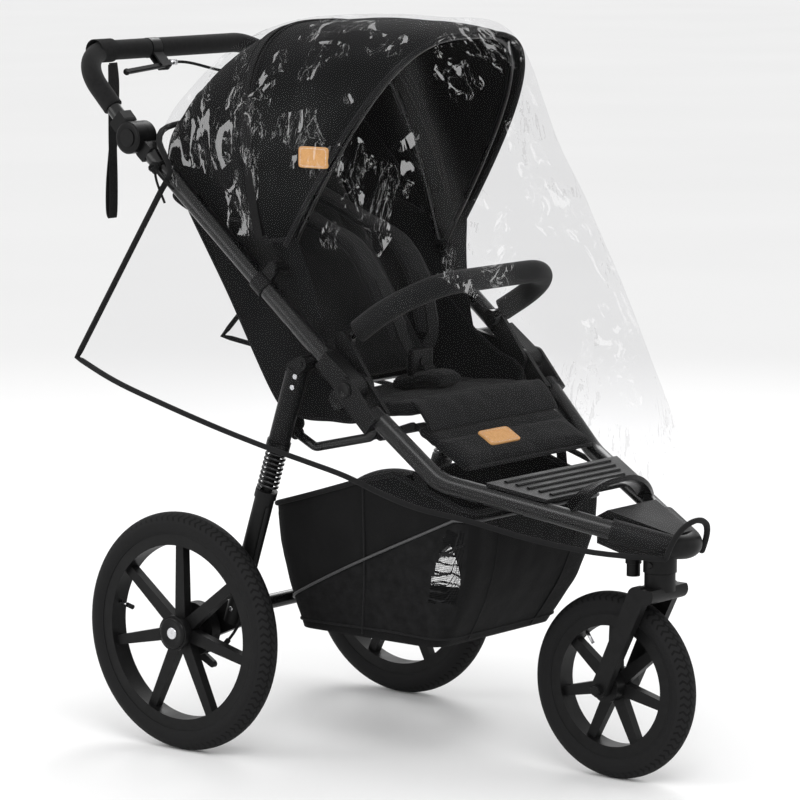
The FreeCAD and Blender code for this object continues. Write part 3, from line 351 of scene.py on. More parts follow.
for n in ("rear_wheel_left", "rear_wheel_right", "front_wheel", "fork", "nose_casting", "axle_castings",
    "fold_castings",
          "fold_arms", "handle_hubs", "handle_clevises", "rear_legs", "lower_legs", "footplate", "lever_clamp",
          "brake_lever", "parking_pedal", "bumper_mounts", "swivel_knob", "buckle", "tilt_button_left",
              "tilt_button_right"):
    bev = N[n].modifiers.new("edge", "BEVEL")
    bev.width = 0.0012
    bev.segments = 2
    bev.limit_method = "ANGLE"
    bev.angle_limit = math.radians(40)
    bev.harden_normals = False


# ------------------------------------------------------------ mesh helpers
def make(name, verts, faces, mat, body, smooth=True):
    me = bpy.data.meshes.new(name)
    me.from_pydata([tuple(v) for v in verts], [], faces)
    me.update()
    o = bpy.data.objects.new(name, me)
    bpy.context.scene.collection.objects.link(o)
    if smooth:
        for p in me.polygons:
            p.use_smooth = True
    if mat:
        me.materials.append(M[mat])
    if body:
        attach(o, body)
    return o


def spline(points, n):
    """Smooth line through the points, n samples between each pair."""
    out = []
    m = len(points)
    for i in range(m - 1):
        p0 = points[max(i - 1, 0)]
        p1, p2 = points[i], points[i + 1]
        p3 = points[min(i + 2, m - 1)]
        for k in range(n):
            t = k / n
            out.append(0.5 * ((2 * p1) + (p2 - p0) * t + (2 * p0 - 5 * p1 + 4 * p2 - p3) * t * t + (3 * p1 - p0 - 3 * p2 + p3) * t ** 3))
    out.append(points[-1].copy())
    return out


def frames(line, closed=False):
    n = len(line)
    tang = []
    for i in range(n):
        a = line[(i - 1) % n] if closed or i > 0 else line[i]
        b = line[(i + 1) % n] if closed or i < n - 1 else line[i]
        tang.append((b - a).normalized())
    up = Vector((0, 0, 1)) if abs(tang[0].z) < 0.9 else Vector((0, 1, 0))
    side = tang[0].cross(up).normalized()
    out = []
    for t in tang:
        side = (side - t * side.dot(t)).normalized()
        out.append((t, side, t.cross(side).normalized()))
    return out


def pipe(name, line, radius, mat, body, seg=10, closed=False, flat=1.0):
    fr = frames(line, closed)
    verts, faces = [], []
    for p, (t, a, b) in zip(line, fr):
        for k in range(seg):
            c = 2 * math.pi * k / seg
            verts.append(p + a * math.cos(c) * radius + b * math.sin(c) * radius * flat)
    n = len(line)
    for i in range(n if closed else n - 1):
        for k in range(seg):
            i2, k2 = (i + 1) % n, (k + 1) % seg
            faces.append((i * seg + k, i * seg + k2, i2 * seg + k2, i2 * seg + k))
    if not closed:
        faces.append(tuple(range(seg - 1, -1, -1)))
        faces.append(tuple((n - 1) * seg + k for k in range(seg)))
    return make(name, verts, faces, mat, body)


def band(name, line, normals, width, thick, mat, body, slot, lift=0.0):
    """Flat tape laid along a line; normals give its face direction."""
    verts, faces = [], []
    n = len(line)
    for i, (p, nn) in enumerate(zip(line, normals)):
        t = (line[min(i + 1, n - 1)] - line[max(i - 1, 0)]).normalized()
        w = t.cross(nn).normalized()
        q = p + nn * lift
        for s, h in ((-1, 0), (-1, 1), (1, 1), (1, 0)):
            verts.append(q + w * s * width / 2 + nn * h * thick)
    for i in range(n - 1):
        for k in range(4):
            k2 = (k + 1) % 4
            faces.append((i * 4 + k, i * 4 + k2, i * 4 + 4 + k2, i * 4 + 4 + k))
    faces.append((3, 2, 1, 0))
    faces.append(tuple((n - 1) * 4 + k for k in range(4)))
    o = make(name, verts, faces, mat, body, smooth=False)
    return o


def grid(name, rows, mat, body, thick=0.0, sub=0):
    n, m = len(rows), len(rows[0])
    verts = [p for r in rows for p in r]
    faces = []
    for i in range(n - 1):
        for j in range(m - 1):
            faces.append((i * m + j, i * m + j + 1, (i + 1) * m + j + 1, (i + 1) * m + j))
    o = make(name, verts, faces, mat, body)
    if thick:
        s = o.modifiers.new("thick", "SOLIDIFY")
        s.thickness = thick
        s.offset = 0
    if sub:
        s = o.modifiers.new("sub", "SUBSURF")
        s.levels = sub
        s.render_levels = sub
    return o


def arch(angle, W, H, n, count, start, lift=0.0):
    """Half superellipse over the canopy pivot, evenly spaced, metres."""
    raw = []
    for i in range(241):
        t = math.pi * i / 240
        c, s = math.cos(t), math.sin(t)
        x = math.copysign((W + lift) * abs(c) ** (2 / n), c)
        h = (H + lift) * max(s, 0.0) ** (2 / n)
        if h >= start:
            raw.append(P(x, 155, 813) + head(angle) * (h / 1000))
    return resample(raw, count)


def resample(raw, count):
    d = [0.0]
    for a, b in zip(raw, raw[1:]):
        d.append(d[-1] + (b - a).length)
    out, k = [], 0
    for i in range(count):
        s = d[-1] * i / (count - 1)
        while k < len(raw) - 2 and d[k + 1] < s:
            k += 1
        t = (s - d[k]) / max(d[k + 1] - d[k], 1e-9)
        out.append(raw[k].lerp(raw[k + 1], min(max(t, 0), 1)))
    return out


def cr(keys, a):
    """Catmull-Rom through keyed rows of numbers."""
    i = 0
    while i < len(keys) - 2 and keys[i + 1][0] < a:
        i += 1
    k0 = keys[max(i - 1, 0)]
    k1, k2 = keys[i], keys[i + 1]
    k3 = keys[min(i + 2, len(keys) - 1)]
    t = (a - k1[0]) / (k2[0] - k1[0])
    res = []
    for j in range(1, len(k1)):
        p0, p1, p2, p3 = k0[j], k1[j], k2[j], k3[j]
        m1 = (p2 - p0) * (k2[0] - k1[0]) / max(k2[0] - k0[0], 1e-6)
        m2 = (p3 - p1) * (k2[0] - k1[0]) / max(k3[0] - k1[0], 1e-6)
        res.append((2 * t ** 3 - 3 * t * t + 1) * p1 + (t ** 3 - 2 * t * t + t) * m1 + (-2 * t ** 3 + 3 * t * t) * p2 + (t ** 3 - t * t) * m2)
    return res


def rumple(p, amp, scale=14.0, seed=0.0):
    return noise.fractal(p * scale + Vector((seed, seed * 2, seed * 3)), 1.0, 2.0, 3) * amp


# ------------------------------------------------------------ canopy
FRONT = [(58.0, 231.0, 442.0, 3.1), (62, 231.5, 434.5, 3.08), (66, 233.0, 425.0, 3.05), (74, 237, 408, 3.0),
         (83, 242, 397.5, 3.0), (92, 248, 393.5, 2.9), (99, 251.0, 395.5, 2.82), (105.6, 253.0, 400.0, 2.8)]
REAR = [(106.2, 253.0, 400.0, 2.8), (112, 252, 396.5, 2.8), (121, 241, 388, 3.2), (130, 230, 372, 4.2),
        (137, 215, 360, 6.0), (144, 212, 350, 8.0), (152, 210, 322, 10.0), (159, 209, 288, 10.0)]


def canopy_point_rows(keys, count, cols, start, wrinkle, seed):
    rows = []
    a0, a1 = keys[0][0], keys[-1][0]
    for i in range(count):
        a = a0 + (a1 - a0) * i / (count - 1)
        W, H, n = cr(keys, a)
        row = arch(a, W, H, n, cols, start)
        edge = min(i, count - 1 - i) / (count - 1) * 2
        amp = wrinkle * (0.25 + 0.75 * math.sin(edge * math.pi / 2))
        c = P(0, 155, 813)
        out = []
        for j, p in enumerate(row):
            away = (p - c).normalized()
            fold = math.sin(j / cols * 46 + seed + 1.3 * math.sin(i * 0.2)) * 0.35
            out.append(p + away * (rumple(p, amp, 9, seed) + fold * amp * 0.5) / 1000)
        rows.append(out)
    return rows


front_rows = canopy_point_rows(FRONT, 46, 170, 42, 2.6, 1.0)
front = grid("canopy_front_skin", front_rows, "canopy", None)
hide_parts("canopy_front_cloth")
rear_rows = canopy_point_rows(REAR, 46, 170, 70, 3.0, 4.0)
rear = grid("canopy_rear_skin", rear_rows, "canopy", None)
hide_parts("canopy_rear_cloth")


def arc_at(keys, a, cols, start, lift):
    W, H, n = cr(keys, a)
    return arch(a, W, H, n, cols, start, lift)


pipe("canopy_edge_binding", arc_at(FRONT, 58.3, 150, 42, 0.5), 0.0042, "pipe", "canopy_front",
    10)
pipe("canopy_zip_cord_a", arc_at(FRONT, 103.2, 150, 42, 0.8), 0.0026, "pipe", "canopy_mid", 8)
pipe("canopy_zip_cord_b", arc_at(REAR, 107.6, 150, 70, 0.8), 0.0026, "pipe", "canopy_mid", 8)
line = arc_at(FRONT, 105.4, 150, 44, 2.0)
c0 = P(0, 155, 813)
band("canopy_zip_tape", line, [(p - c0).normalized() for p in line], 0.016, 0.0012, "web", "canopy_mid",
    "black_fabric")
seam = pipe("canopy_rear_seam", arc_at(REAR, 131, 150, 74, 0.4), 0.0020, "pipe", None, 8)
pipe("canopy_rear_hem", arc_at(REAR, 158.8, 120, 70, 0.2), 0.0032, "pipe", "canopy_pivot", 8)
for s in (1, -1):
    for nm, keys, st, a0, a1 in (("front", FRONT, 42, 58.2, 105.4), ("rear", REAR, 70, 106.4, 158.8)):
        pts = []
        for i in range(40):
            a = a0 + (a1 - a0) * i / 39
            W, H, n = cr(keys, a)
            row = arch(a, W, H, n, 40, st)
            pts.append(row[0] if s > 0 else row[-1])
        o = pipe(f"canopy_{nm}_hem_{'lr'[s < 0]}", pts, 0.0034, "pipe", None, 8)
        if nm == "front":
            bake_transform(o)
        else:
            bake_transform(o)
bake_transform(front)
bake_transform(rear)
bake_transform(seam)


def patch(name, centre, right, up, w, h, body, lift=0.0008, thick=0.0022):
    """Stitched leather patch lying in the plane of right and up."""
    right, up = right.normalized(), (up - right * up.dot(right.normalized())).normalized()
    nn = right.cross(up).normalized()
    pts = []
    for i in range(48):
        t = 2 * math.pi * i / 48
        c, s = math.cos(t), math.sin(t)
        pts.append((math.copysign(abs(c) ** 0.22, c) * w / 2, math.copysign(abs(s) ** 0.22, s) * h / 2))
    top = [centre + right * u + up * v + nn * (lift + thick) for u, v in pts]
    low = [centre + right * u * 1.01 + up * v * 1.01 + nn * lift * 0.2 for u, v in pts]
    n = len(pts)
    faces = [tuple(range(n))] + [(i, n + i, n + (i + 1) % n, (i + 1) % n) for i in range(n)]
    make(name, top + low, faces, "tag", body, smooth=False)
    verts, fs = [], []
    step = 0.0026
    k = 0
    ring = [centre + right * u * 0.88 + up * v * 0.84 + nn * (lift + thick + 0.0003) for u, v in pts]
    total = ring + [ring[0]]
    walk = resample(total, int(2 * (w + h) / step))
    for a, b in zip(walk[::2], walk[1::2]):
        t = (b - a)
        s = t.cross(nn).normalized() * 0.0005
        base = len(verts)
        verts += [a - s, a + s, b + s, b - s, (a + b) / 2 + nn * 0.0006]
        fs += [(base, base + 1, base + 4), (base + 1, base + 2, base + 4),
            (base + 2, base + 3, base + 4), (base + 3, base, base + 4)]
    make(name + "_stitches", verts, fs, "zinc", body)


def near_row(keys, a, f_near, z_near, start, sign=-1):
    W, H, n = cr(keys, a)
    row = arch(a, W, H, n, 400, start)
    want = P(0, f_near, z_near)
    side = [p for p in row if p.x * sign > 0]
    return min(side, key=lambda p: (p.y - want.y) ** 2 + (p.z - want.z) ** 2)


cx = near_row(FRONT, 66, 240, 994, 42)
q1 = near_row(FRONT, 72, 215, 994, 42)
patch("canopy_tag", cx + Vector((-0.0022, 0, 0)), Vector((0, -1, 0)) + Vector((cx.x - q1.x, 0,
    0)).normalized() * 0.05, Vector((0.02, 0, 1)), 0.058, 0.034,
      "canopy_front", lift=0.0015)

# ------------------------------------------------------------ rain cover
HALVES = []


def cover_row(angle, half_w, height, power, bottom):
    side = []
    for t in range(90, 21, -4):
        t = math.radians(t)
        x = half_w * max(math.cos(t), 0.0) ** (2 / power) if t < 1.57 else 0.0
        side.append(P(x, 155, 813) + head(angle) * (height * math.sin(t) ** (2 / power) / 1000))
    side.append(P(*bottom))
    return resample(side, 20)


def apron_row(top, bottom):
    a, b = P(*top), P(*bottom)
    side = []
    for i in range(21):
        s = i / 20
        p = a + (b - a) * s ** 1.7
        side.append(Vector((b.x * (1 - (1 - s) ** 2.4), p.y, p.z)))
    return resample(side, 20)


for spec in ((143, 260, 360, 5.6, (188, -332, 620)), (134, 260, 375, 4.6, (222, -215, 594)),
             (124, 260, 392, 3.7, (244, -90, 570)), (113, 261, 403, 3.2, (262, 50, 544)),
             (101, 260, 404, 3.0, (264, 160, 522)), (88, 256, 402, 3.0, (264, 250, 506)),
             (73, 250, 419, 3.0, (264, 330, 491)), (59, 243, 449, 3.0, (263, 405, 470))):
    HALVES.append(cover_row(*spec))
for spec in (((0, 460, 1064), (252, 470, 452)), ((0, 560, 908), (216, 552, 434)),
    ((0, 655, 752), (172, 630, 410)),
             ((0, 746, 600), (116, 716, 390)), ((0, 831, 438), (50, 808, 380))):
    HALVES.append(apron_row(*spec))
full = [[Vector((-p.x, p.y, p.z)) for p in half_row[:0:-1]] + half_row for half_row in HALVES]
wide = [spline(r, 4) for r in full]
cols = list(zip(*wide))
fine_cols = [spline(list(c), 10) for c in cols]
rows = [list(r) for r in zip(*fine_cols)]
centre = P(0, 250, 620)
for i, r in enumerate(rows):
    for j, p in enumerate(r):
        e = min(i, len(rows) - 1 - i, 12) / 12
        w = min(j, len(r) - 1 - j, 14) / 14
        d = (p - centre).normalized()
        push = rumple(p, 2.6, 8, 9.0) * e * w
        r[j] = p + d * max(min(push, 2.5), -1.2) / 1000
cover = grid("rain_cover_film", rows, "film", "chassis")
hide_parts("rain_cover")
left_edge = [r[0] for r in rows]
right_edge = [r[-1] for r in rows]
rim = right_edge + rows[-1][::-1][1:-1] + left_edge[::-1] + rows[0][1:-1]
rim_obj = pipe("rain_cover_binding", rim[::2], 0.0054, "pipe", "chassis", 8, closed=True,
    flat=0.85)
soft_parts = [cover, rim_obj]
for o in soft_parts:
    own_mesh(o)

# ------------------------------------------------------------ padded goods


def puff(name, node, body, mat, pins, voxel=0.005, pressure=4.0, cap=0.008, press_in=0.003, cut=None):
    """Fills a soft node out with a short cloth run, its seam lines held down."""
    src = N[node]
    me = src.data.copy()
    me.transform(src.matrix_world)
    o = bpy.data.objects.new(name, me)
    bpy.context.scene.collection.objects.link(o)
    if cut:
        bm = bmesh.new()
        bm.from_mesh(me)
        bmesh.ops.bisect_plane(bm, geom=bm.verts[:] + bm.edges[:] + bm.faces[:], plane_co=cut[0],
            plane_no=cut[1], clear_inner=True)
        bmesh.ops.holes_fill(bm, edges=bm.edges[:], sides=0)
        bm.to_mesh(me)
        bm.free()
    r = o.modifiers.new("remesh", "REMESH")
    r.mode = "VOXEL"
    r.voxel_size = voxel
    r.use_smooth_shade = True
    dg = bpy.context.evaluated_depsgraph_get()
    new = bpy.data.meshes.new_from_object(o.evaluated_get(dg))
    o.modifiers.clear()
    o.data = new
    me = new
    base = [v.co.copy() for v in me.vertices]
    nrm = [v.normal.copy() for v in me.vertices]
    group = o.vertex_groups.new(name="pin")
    for i, v in enumerate(me.vertices):
        w = pins(base[i], nrm[i])
        if w > 0:
            group.add([i], min(w, 1.0), "REPLACE")
            v.co = base[i] - nrm[i] * press_in * w
    rest = [v.co.copy() for v in me.vertices]
    c = o.modifiers.new("cloth", "CLOTH")
    s = c.settings
    s.quality = 4
    s.mass = 0.25
    s.tension_stiffness = 16
    s.compression_stiffness = 12
    s.bending_stiffness = 0.35
    s.use_pressure = True
    s.uniform_pressure_force = pressure
    s.effector_weights.gravity = 0
    s.vertex_group_mass = "pin"
    c.point_cache.frame_start = 1
    c.point_cache.frame_end = 20
    sc = bpy.context.scene
    for f in range(1, 21):
        sc.frame_set(f)
    dg = bpy.context.evaluated_depsgraph_get()
    ev = o.evaluated_get(dg).data
    moved = [v.co.copy() for v in ev.vertices]
    sc.frame_set(1)
    o.modifiers.clear()
    for i, v in enumerate(o.data.vertices):
        d = moved[i] - rest[i]
        if d.length > cap:
            d *= cap / d.length
        v.co = rest[i] + d
    for v, n in zip(o.data.vertices, nrm):
        v.co += n * rumple(v.co, 0.9, 22, 3.0) / 1000
    for p in o.data.polygons:
        p.use_smooth = True
    sub = o.modifiers.new("sub", "SUBSURF")
    sub.levels = sub.render_levels = 1
    paint(o, M[mat])
    if body:
        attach(o, body)
    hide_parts(node)
    return o


def near(v, targets, width):
    d = min(abs(v - t) for t in targets)
    return max(0.0, 1 - d / width)


seat = puff("seat_cushion_soft", "seat_cushion", "chassis", "seat",
            lambda p, n: max(near(p.y, [P(0, 262, 0).y, P(0, 350, 0).y], 0.006),
                near(abs(p.x), [0.118], 0.006)) if n.z > 0.3 else (0.5 if n.z < -0.5 else 0), cap=0.009)
lean = (P(0, -78, 934) - P(0, 140, 600)).normalized()
face = Vector((1, 0, 0)).cross(lean)
face = -face if face.y > 0 else face
foot = P(0, 142, 598)


def back_pins(p, n):
    s = (p - foot).dot(lean)
    if n.dot(face) < -0.4:
        return 0.6
    return max(near(abs(p.x), [0.112], 0.006), near(s, [0.075, 0.235, 0.315], 0.006) if abs(p.x) < 0.112 else 0)


back = puff("backrest_pad_soft", "backrest_pad", "backrest", "seat", back_pins, cap=0.010)
leg_dir = head(-30)
leg_foot = P(0, 392, 566)
leg = puff("legrest_soft", "legrest", "legrest", "seat",
           lambda p, n: 1.0 if (p - leg_foot).dot(leg_dir) < 0.016 else near((p - leg_foot).dot(leg_dir), [0.055], 0.005) * 0.7, cap=0.006)
crotch_pts = [P(0, 236, 606), P(0, 262, 612), P(0, 288, 618), P(0, 318, 622), P(0, 336, 616)]

# shoulder pads, each a stuffed strip from the backrest to the buckle
shoulder = [foot + lean * 0.352 + face * 0.040 + Vector((0.058, 0, 0)), P(58, 100, 868),
    P(58, 176, 836), P(56, 222, 780), P(46, 246, 722), P(38, 258, 688)]


def stuffed(name, line, side, width, depth, mat, seams=(0.82,), seed=0.0, ends=0.25):
    """Closed pillow strip along a line with stitched grooves near its edges."""
    n = len(line)
    verts, faces = [], []
    seg = 28
    for i, p in enumerate(line):
        t = (line[min(i + 1, n - 1)] - line[max(i - 1, 0)]).normalized()
        w = (side - t * side.dot(t)).normalized()
        nn = t.cross(w).normalized()
        u = i / (n - 1)
        end = min(1.0, (min(u, 1 - u) / 0.06 + ends)) if min(u, 1 - u) < 0.06 else 1.0
        end = min(end, 1.0)
        quilt = 1 - 0.14 * max(0.0, math.cos(u * math.pi * 10)) ** 6
        for k in range(seg):
            a = 2 * math.pi * k / seg
            c, s = math.cos(a), math.sin(a)
            x = math.copysign(abs(c) ** 0.62, c)
            y = math.copysign(abs(s) ** 0.75, s)
            groove = 1 - 0.42 * max(0.0, 1 - abs(abs(x) - seams[0]) / 0.09) if abs(y) > 0.25 else 1
            q = p + w * x * width / 2 * (0.9 + 0.1 * end) + nn * y * depth / 2 * end * groove * quilt
            verts.append(q + nn * rumple(q, 0.9, 30, seed) / 1000)
    for i in range(n - 1):
        for k in range(seg):
            k2 = (k + 1) % seg
            faces.append((i * seg + k, i * seg + k2, i * seg + seg + k2, i * seg + seg + k))
    faces.append(tuple(range(seg - 1, -1, -1)))
    faces.append(tuple((n - 1) * seg + k for k in range(seg)))
    return make(name, verts, faces, mat, None)


pads = []
for s, nm in ((1, "left"), (-1, "right")):
    pts = [Vector((p.x * s, p.y, p.z)) for p in shoulder]
    pads.append(stuffed("shoulder_pad_" + nm, resample(spline(pts, 12), 70), Vector((1, 0, 0)), 0.054,
        0.017, "liner", seed=s))
    web_pts = resample(spline([pts[3] + Vector((0, -0.009, 0.004)), pts[4] + Vector((0, -0.011, 0)),
        pts[5] + Vector((0, -0.010, 0)), P(s * 22, 268, 664)], 10), 30)
    wb = band("shoulder_web_" + nm, web_pts, [Vector((0, -1, 0.25)).normalized()] * 30, 0.025, 0.0016,
        "web", None, "black_fabric")
    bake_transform(wb)
for o in pads:
    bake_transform(o)
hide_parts("harness_pads")
crotch = stuffed("crotch_pad", resample(spline(crotch_pts, 12), 50), Vector((1, 0, 0)), 0.062, 0.026,
    "liner", seed=2.0)
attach(crotch, "chassis")
strap = band("crotch_web", resample(spline([P(0, 287, 640), P(0, 294, 628), P(0, 292, 612)], 8), 20),
    [Vector((0, -1, 0.3)).normalized()] * 20, 0.030, 0.002,
             "web", "chassis", "black_fabric")
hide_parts("crotch_strap")


# ------------------------------------------------------------ seat side panels
RINGP = [(-66, 926), (-74, 906), (20, 760), (124, 592), (176, 566), (240, 566), (300, 570), (338, 606),
    (322, 628), (286, 642), (240, 672), (206, 704),
         (140, 762), (60, 828), (-36, 906)]


def side_panel(s):
    nm = "left" if s > 0 else "right"
    pts = [Vector((0, RY - f / 1000, z / 1000)) for f, z in RINGP]
    ring = resample(spline(pts + [pts[0]], 10), 151)[:-1]
    bm = bmesh.new()
    vs = [bm.verts.new(p) for p in ring]
    bm.faces.new(vs)
    bmesh.ops.triangulate(bm, faces=bm.faces[:])
    for _ in range(4):
        long = [e for e in bm.edges if e.calc_length() > 0.010]
        if long:
            bmesh.ops.subdivide_edges(bm, edges=long, cuts=1)
            bmesh.ops.triangulate(bm, faces=bm.faces[:])
    bmesh.ops.beautify_fill(bm, faces=bm.faces[:], edges=[e for e in bm.edges if not e.is_boundary])
    x0 = 0.1925 * s
    cen = P(0, 190, 650)
    for v in bm.verts:
        belly = math.exp(-((v.co.y - cen.y) ** 2 + (v.co.z - cen.z) ** 2) / 0.02)
        v.co.x = x0 + s * (rumple(v.co, 1.6, 14, 5.0 + s) + 0.6 * belly) / 1000
    me = bpy.data.meshes.new("seat_side_" + nm)
    bm.to_mesh(me)
    bm.free()
    o = bpy.data.objects.new("seat_side_" + nm, me)
    bpy.context.scene.collection.objects.link(o)
    for p in me.polygons:
        p.use_smooth = True
    me.materials.append(M["side"])
    sol = o.modifiers.new("thick", "SOLIDIFY")
    sol.thickness = 0.0022
    sol.offset = 0
    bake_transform(o)
    edge = pipe("seat_side_binding_" + nm, [Vector((x0, p.y, p.z)) for p in ring], 0.0034, "pipe", None,
        8, closed=True)
    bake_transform(edge)
    return o


sides = [side_panel(1), side_panel(-1)]
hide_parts("seat_sides")


def hood_side(s):
    nm = "left" if s > 0 else "right"
    up = []
    for keys, a, st in ((REAR, 156, 72), (REAR, 143, 72), (REAR, 128, 72), (REAR, 112, 72),
        (FRONT, 99, 56), (FRONT, 84, 46), (FRONT, 70, 44), (FRONT, 59, 43)):
        W, H, n = cr(keys, a)
        row = arch(a, W, H, n, 60, st, -3.0)
        up.append(row[1] if s > 0 else row[-2])
    low = [P(s * 190, f, z) for f, z in ((-66, 915), (-10, 862), (40, 836), (90, 795), (140, 752),
        (180, 720), (212, 694), (238, 668))]
    a = resample(spline(up, 8), 64)
    b = resample(spline(low, 8), 64)
    rows_ = []
    for i in range(22):
        t = i / 21
        rows_.append([p.lerp(q, t) + Vector((-s * 0.010 * math.sin(math.pi * t) + s * rumple(p.lerp(q,
        t), 2.0, 16, 7.0) / 1000, 0, 0)) for p, q in zip(a, b)])
    o = grid("hood_side_" + nm, rows_, "side", "chassis")
    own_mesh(o)
    return o


linings = [hood_side(1), hood_side(-1)]
flap_rows = []
for i in range(15):
    t = i / 14
    a0, a1, a2 = P(0, 388, 604), P(0, 408, 599), leg_foot + leg_dir * 0.034 + head(60) * 0.0135
    q = (a0 * (1 - t) + a1 * t) * (1 - t) + (a1 * (1 - t) + a2 * t) * t
    flap_rows.append([q + Vector((-0.170 + 0.340 * j / 60, 0,
        rumple(Vector((j * 0.006, t * 0.05, 0)), 1.6, 20, 3.0) / 1000)) for j in range(61)])
flap = grid("seat_front_flap", flap_rows, "seat", None)
sol = flap.modifiers.new("thick", "SOLIDIFY")
sol.thickness = 0.003
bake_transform(flap)


# ------------------------------------------------------------ basket
LV = [(205, 134, 436, 158), (252, 122, 466, 165.5), (300, 112, 492, 172), (380, 100, 516, 180),
    (502, 90, 524, 182)]


def ring_at(z, u):
    f0, f1, hw = cr(LV, z)
    r = 34.0
    segs = [("l", (0, f0), (hw - r, f0)), ("a", (hw - r, f0 + r), -90),
        ("l", (hw, f0 + r), (hw, f1 - r)), ("a", (hw - r, f1 - r), 0),
            ("l", (hw - r, f1), (-hw + r, f1)), ("a", (-hw + r, f1 - r), 90),
                ("l", (-hw, f1 - r), (-hw, f0 + r)), ("a", (-hw + r, f0 + r), 180),
            ("l", (-hw + r, f0), (0, f0))]
    lens = [r * math.pi / 2 if k[0] == "a" else math.dist(k[1], k[2]) for k in segs]
    s = (u % 1.0) * sum(lens)
    for k, L in zip(segs, lens):
        if s <= L or k is segs[-1]:
            t = min(s / L, 1)
            if k[0] == "l":
                return k[1][0] + (k[2][0] - k[1][0]) * t, k[1][1] + (k[2][1] - k[1][1]) * t
            a = math.radians(k[2] + 90 * t)
            return k[1][0] + r * math.cos(a), k[1][1] + r * math.sin(a)
        s -= L


def rim_z(f):
    """Height of the basket's top edge, rising from the back and dipping at the front."""
    return 405 + (f - 60) * 0.284 if f < 366 else 492 - (f - 366) * 0.309


U, VN = 260, 44
verts, faces, mats = [], [], []
for j in range(VN + 1):
    for i in range(U):
        u = i / U
        t = j / VN
        x, f = ring_at(470, u)
        top = rim_z(f)
        z = 205 + (top - 205) * t
        x, f = ring_at(z, u)
        sag = math.sin(math.pi * t) * 2.5 - (1.6 if t > 0.93 else 0)
        cxm, cfm = 0, 310
        d = Vector((x - cxm, f - cfm, 0))
        d.normalize()
        pr = Vector((x, f, z)) * 0.001
        wob = rumple(pr, 3.2, 13, 2.0) * math.sin(math.pi * min(t * 1.1,
            1)) + 0.9 * math.sin(u * 150) * math.sin(math.pi * t) ** 2 * 0.4
        out = min(sag * 0.4 + wob, 2.6)
        drop = 5.0 * math.sin(math.pi * ((u * 4) % 1)) * t ** 3
        verts.append(P(x + d.x * out, f + d.y * out, z - drop))
for j in range(VN):
    for i in range(U):
        i2 = (i + 1) % U
        faces.append((j * U + i, j * U + i2, (j + 1) * U + i2, (j + 1) * U + i))
        t = (j + 0.5) / VN
        x, f = ring_at(300, i / U)
        m = 1
        zz = 205 + (rim_z(f) - 205) * t
        if zz > 222 + (f - 60) * 0.50 or t < 0.06 or f > 486 or f < 118:
            m = 0
        if x < -160 and 432 < f < 486 and 285 < zz < 285 + 130 * min(1.0, (f - 425) / 30):
            m = 2
        if x > 160 and 135 < f < 232 and 232 < zz < 345:
            m = 2
        mats.append(m)
K = 16
prev = [j for j in range(U)]
for k in range(1, K + 1):
    s = 1 - k / K
    cur = []
    for i in range(U):
        x, f = ring_at(205, i / U)
        x, f = x * s, 285 + (f - 285) * s
        cur.append(len(verts))
        verts.append(P(x, f, 205 + rumple(Vector((x, f, 0)) * 0.001, 2.0, 12, 8.0) + 1.5 * (1 - s)))
    for i in range(U):
        i2 = (i + 1) % U
        faces.append((prev[i], cur[i], cur[i2], prev[i2]))
        mats.append(0)
    prev = cur
basket = make("basket_fabric", verts, faces, "side", "chassis")
basket.data.materials.append(M["net"])
basket.data.materials.append(M["window"])
for p, m in zip(basket.data.polygons, mats):
    p.material_index = m
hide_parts("basket")


def basket_line(t, grow=0.0, u0=0.0, u1=1.0, n=240):
    out = []
    for i in range(n):
        u = u0 + (u1 - u0) * i / max(n - 1 if u1 - u0 < 1 else n, 1)
        x, f = ring_at(470, u)
        z = 205 + (rim_z(f) - 205) * t
        x, f = ring_at(z, u)
        d = Vector((x, f - 310, 0)).normalized()
        drop = 5.0 * math.sin(math.pi * ((u * 4) % 1)) * t ** 3
        out.append(P(x + d.x * grow, f + d.y * grow, z - drop))
    return out


def low_line():
    """The piping between the solid top band and the net: it rises towards the front."""
    out = []
    for i in range(240):
        x, f = ring_at(300, i / 240)
        z = min(max(222 + (f - 60) * 0.50, 232), 425)
        x, f = ring_at(z, i / 240)
        d = Vector((x, f - 310, 0)).normalized()
        out.append(P(x + d.x * 2.2, f + d.y * 2.2, z))
    return out


soft = [basket]
soft.append(pipe("basket_rim", basket_line(0.995, 0.2), 0.0046, "pipe", "chassis", 10,
    closed=True))
soft.append(pipe("basket_reflective_piping", low_line(), 0.0024, "reflect", "chassis",
    8, closed=True))
soft.append(pipe("basket_low_seam", basket_line(0.06, 1.2), 0.0018, "pipe", "chassis",
    8, closed=True))
for nm, u in (("a", 0.245), ("b", 0.755), ("c", 0.43), ("d", 0.57)):
    pts = []
    for k in range(24):
        pts += basket_line(0.02 + 0.95 * k / 23, 1.5, u, u + 0.001, 1)
    soft.append(pipe("basket_seam_" + nm, pts, 0.0016, "pipe", "chassis", 6))
for nm, u, f_up, x_up in (("front_left", 0.33, 420, 190), ("front_right", 0.67, 420, -190)):
    a = basket_line(0.97, 0.8, u, u + 0.001, 1)[0]
    b = P(x_up, f_up, rim_z(f_up) + 24)
    pts = [a.lerp(b, k / 11) + Vector((0, 0, 0)) for k in range(12)]
    side = Vector((1 if x_up > 0 else -1, 0, 0))
    soft.append(band("basket_strap_" + nm, pts, [side] * 12, 0.020, 0.0016, "web", "chassis",
        "black_fabric", lift=0.001))
for o in soft:
    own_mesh(o)

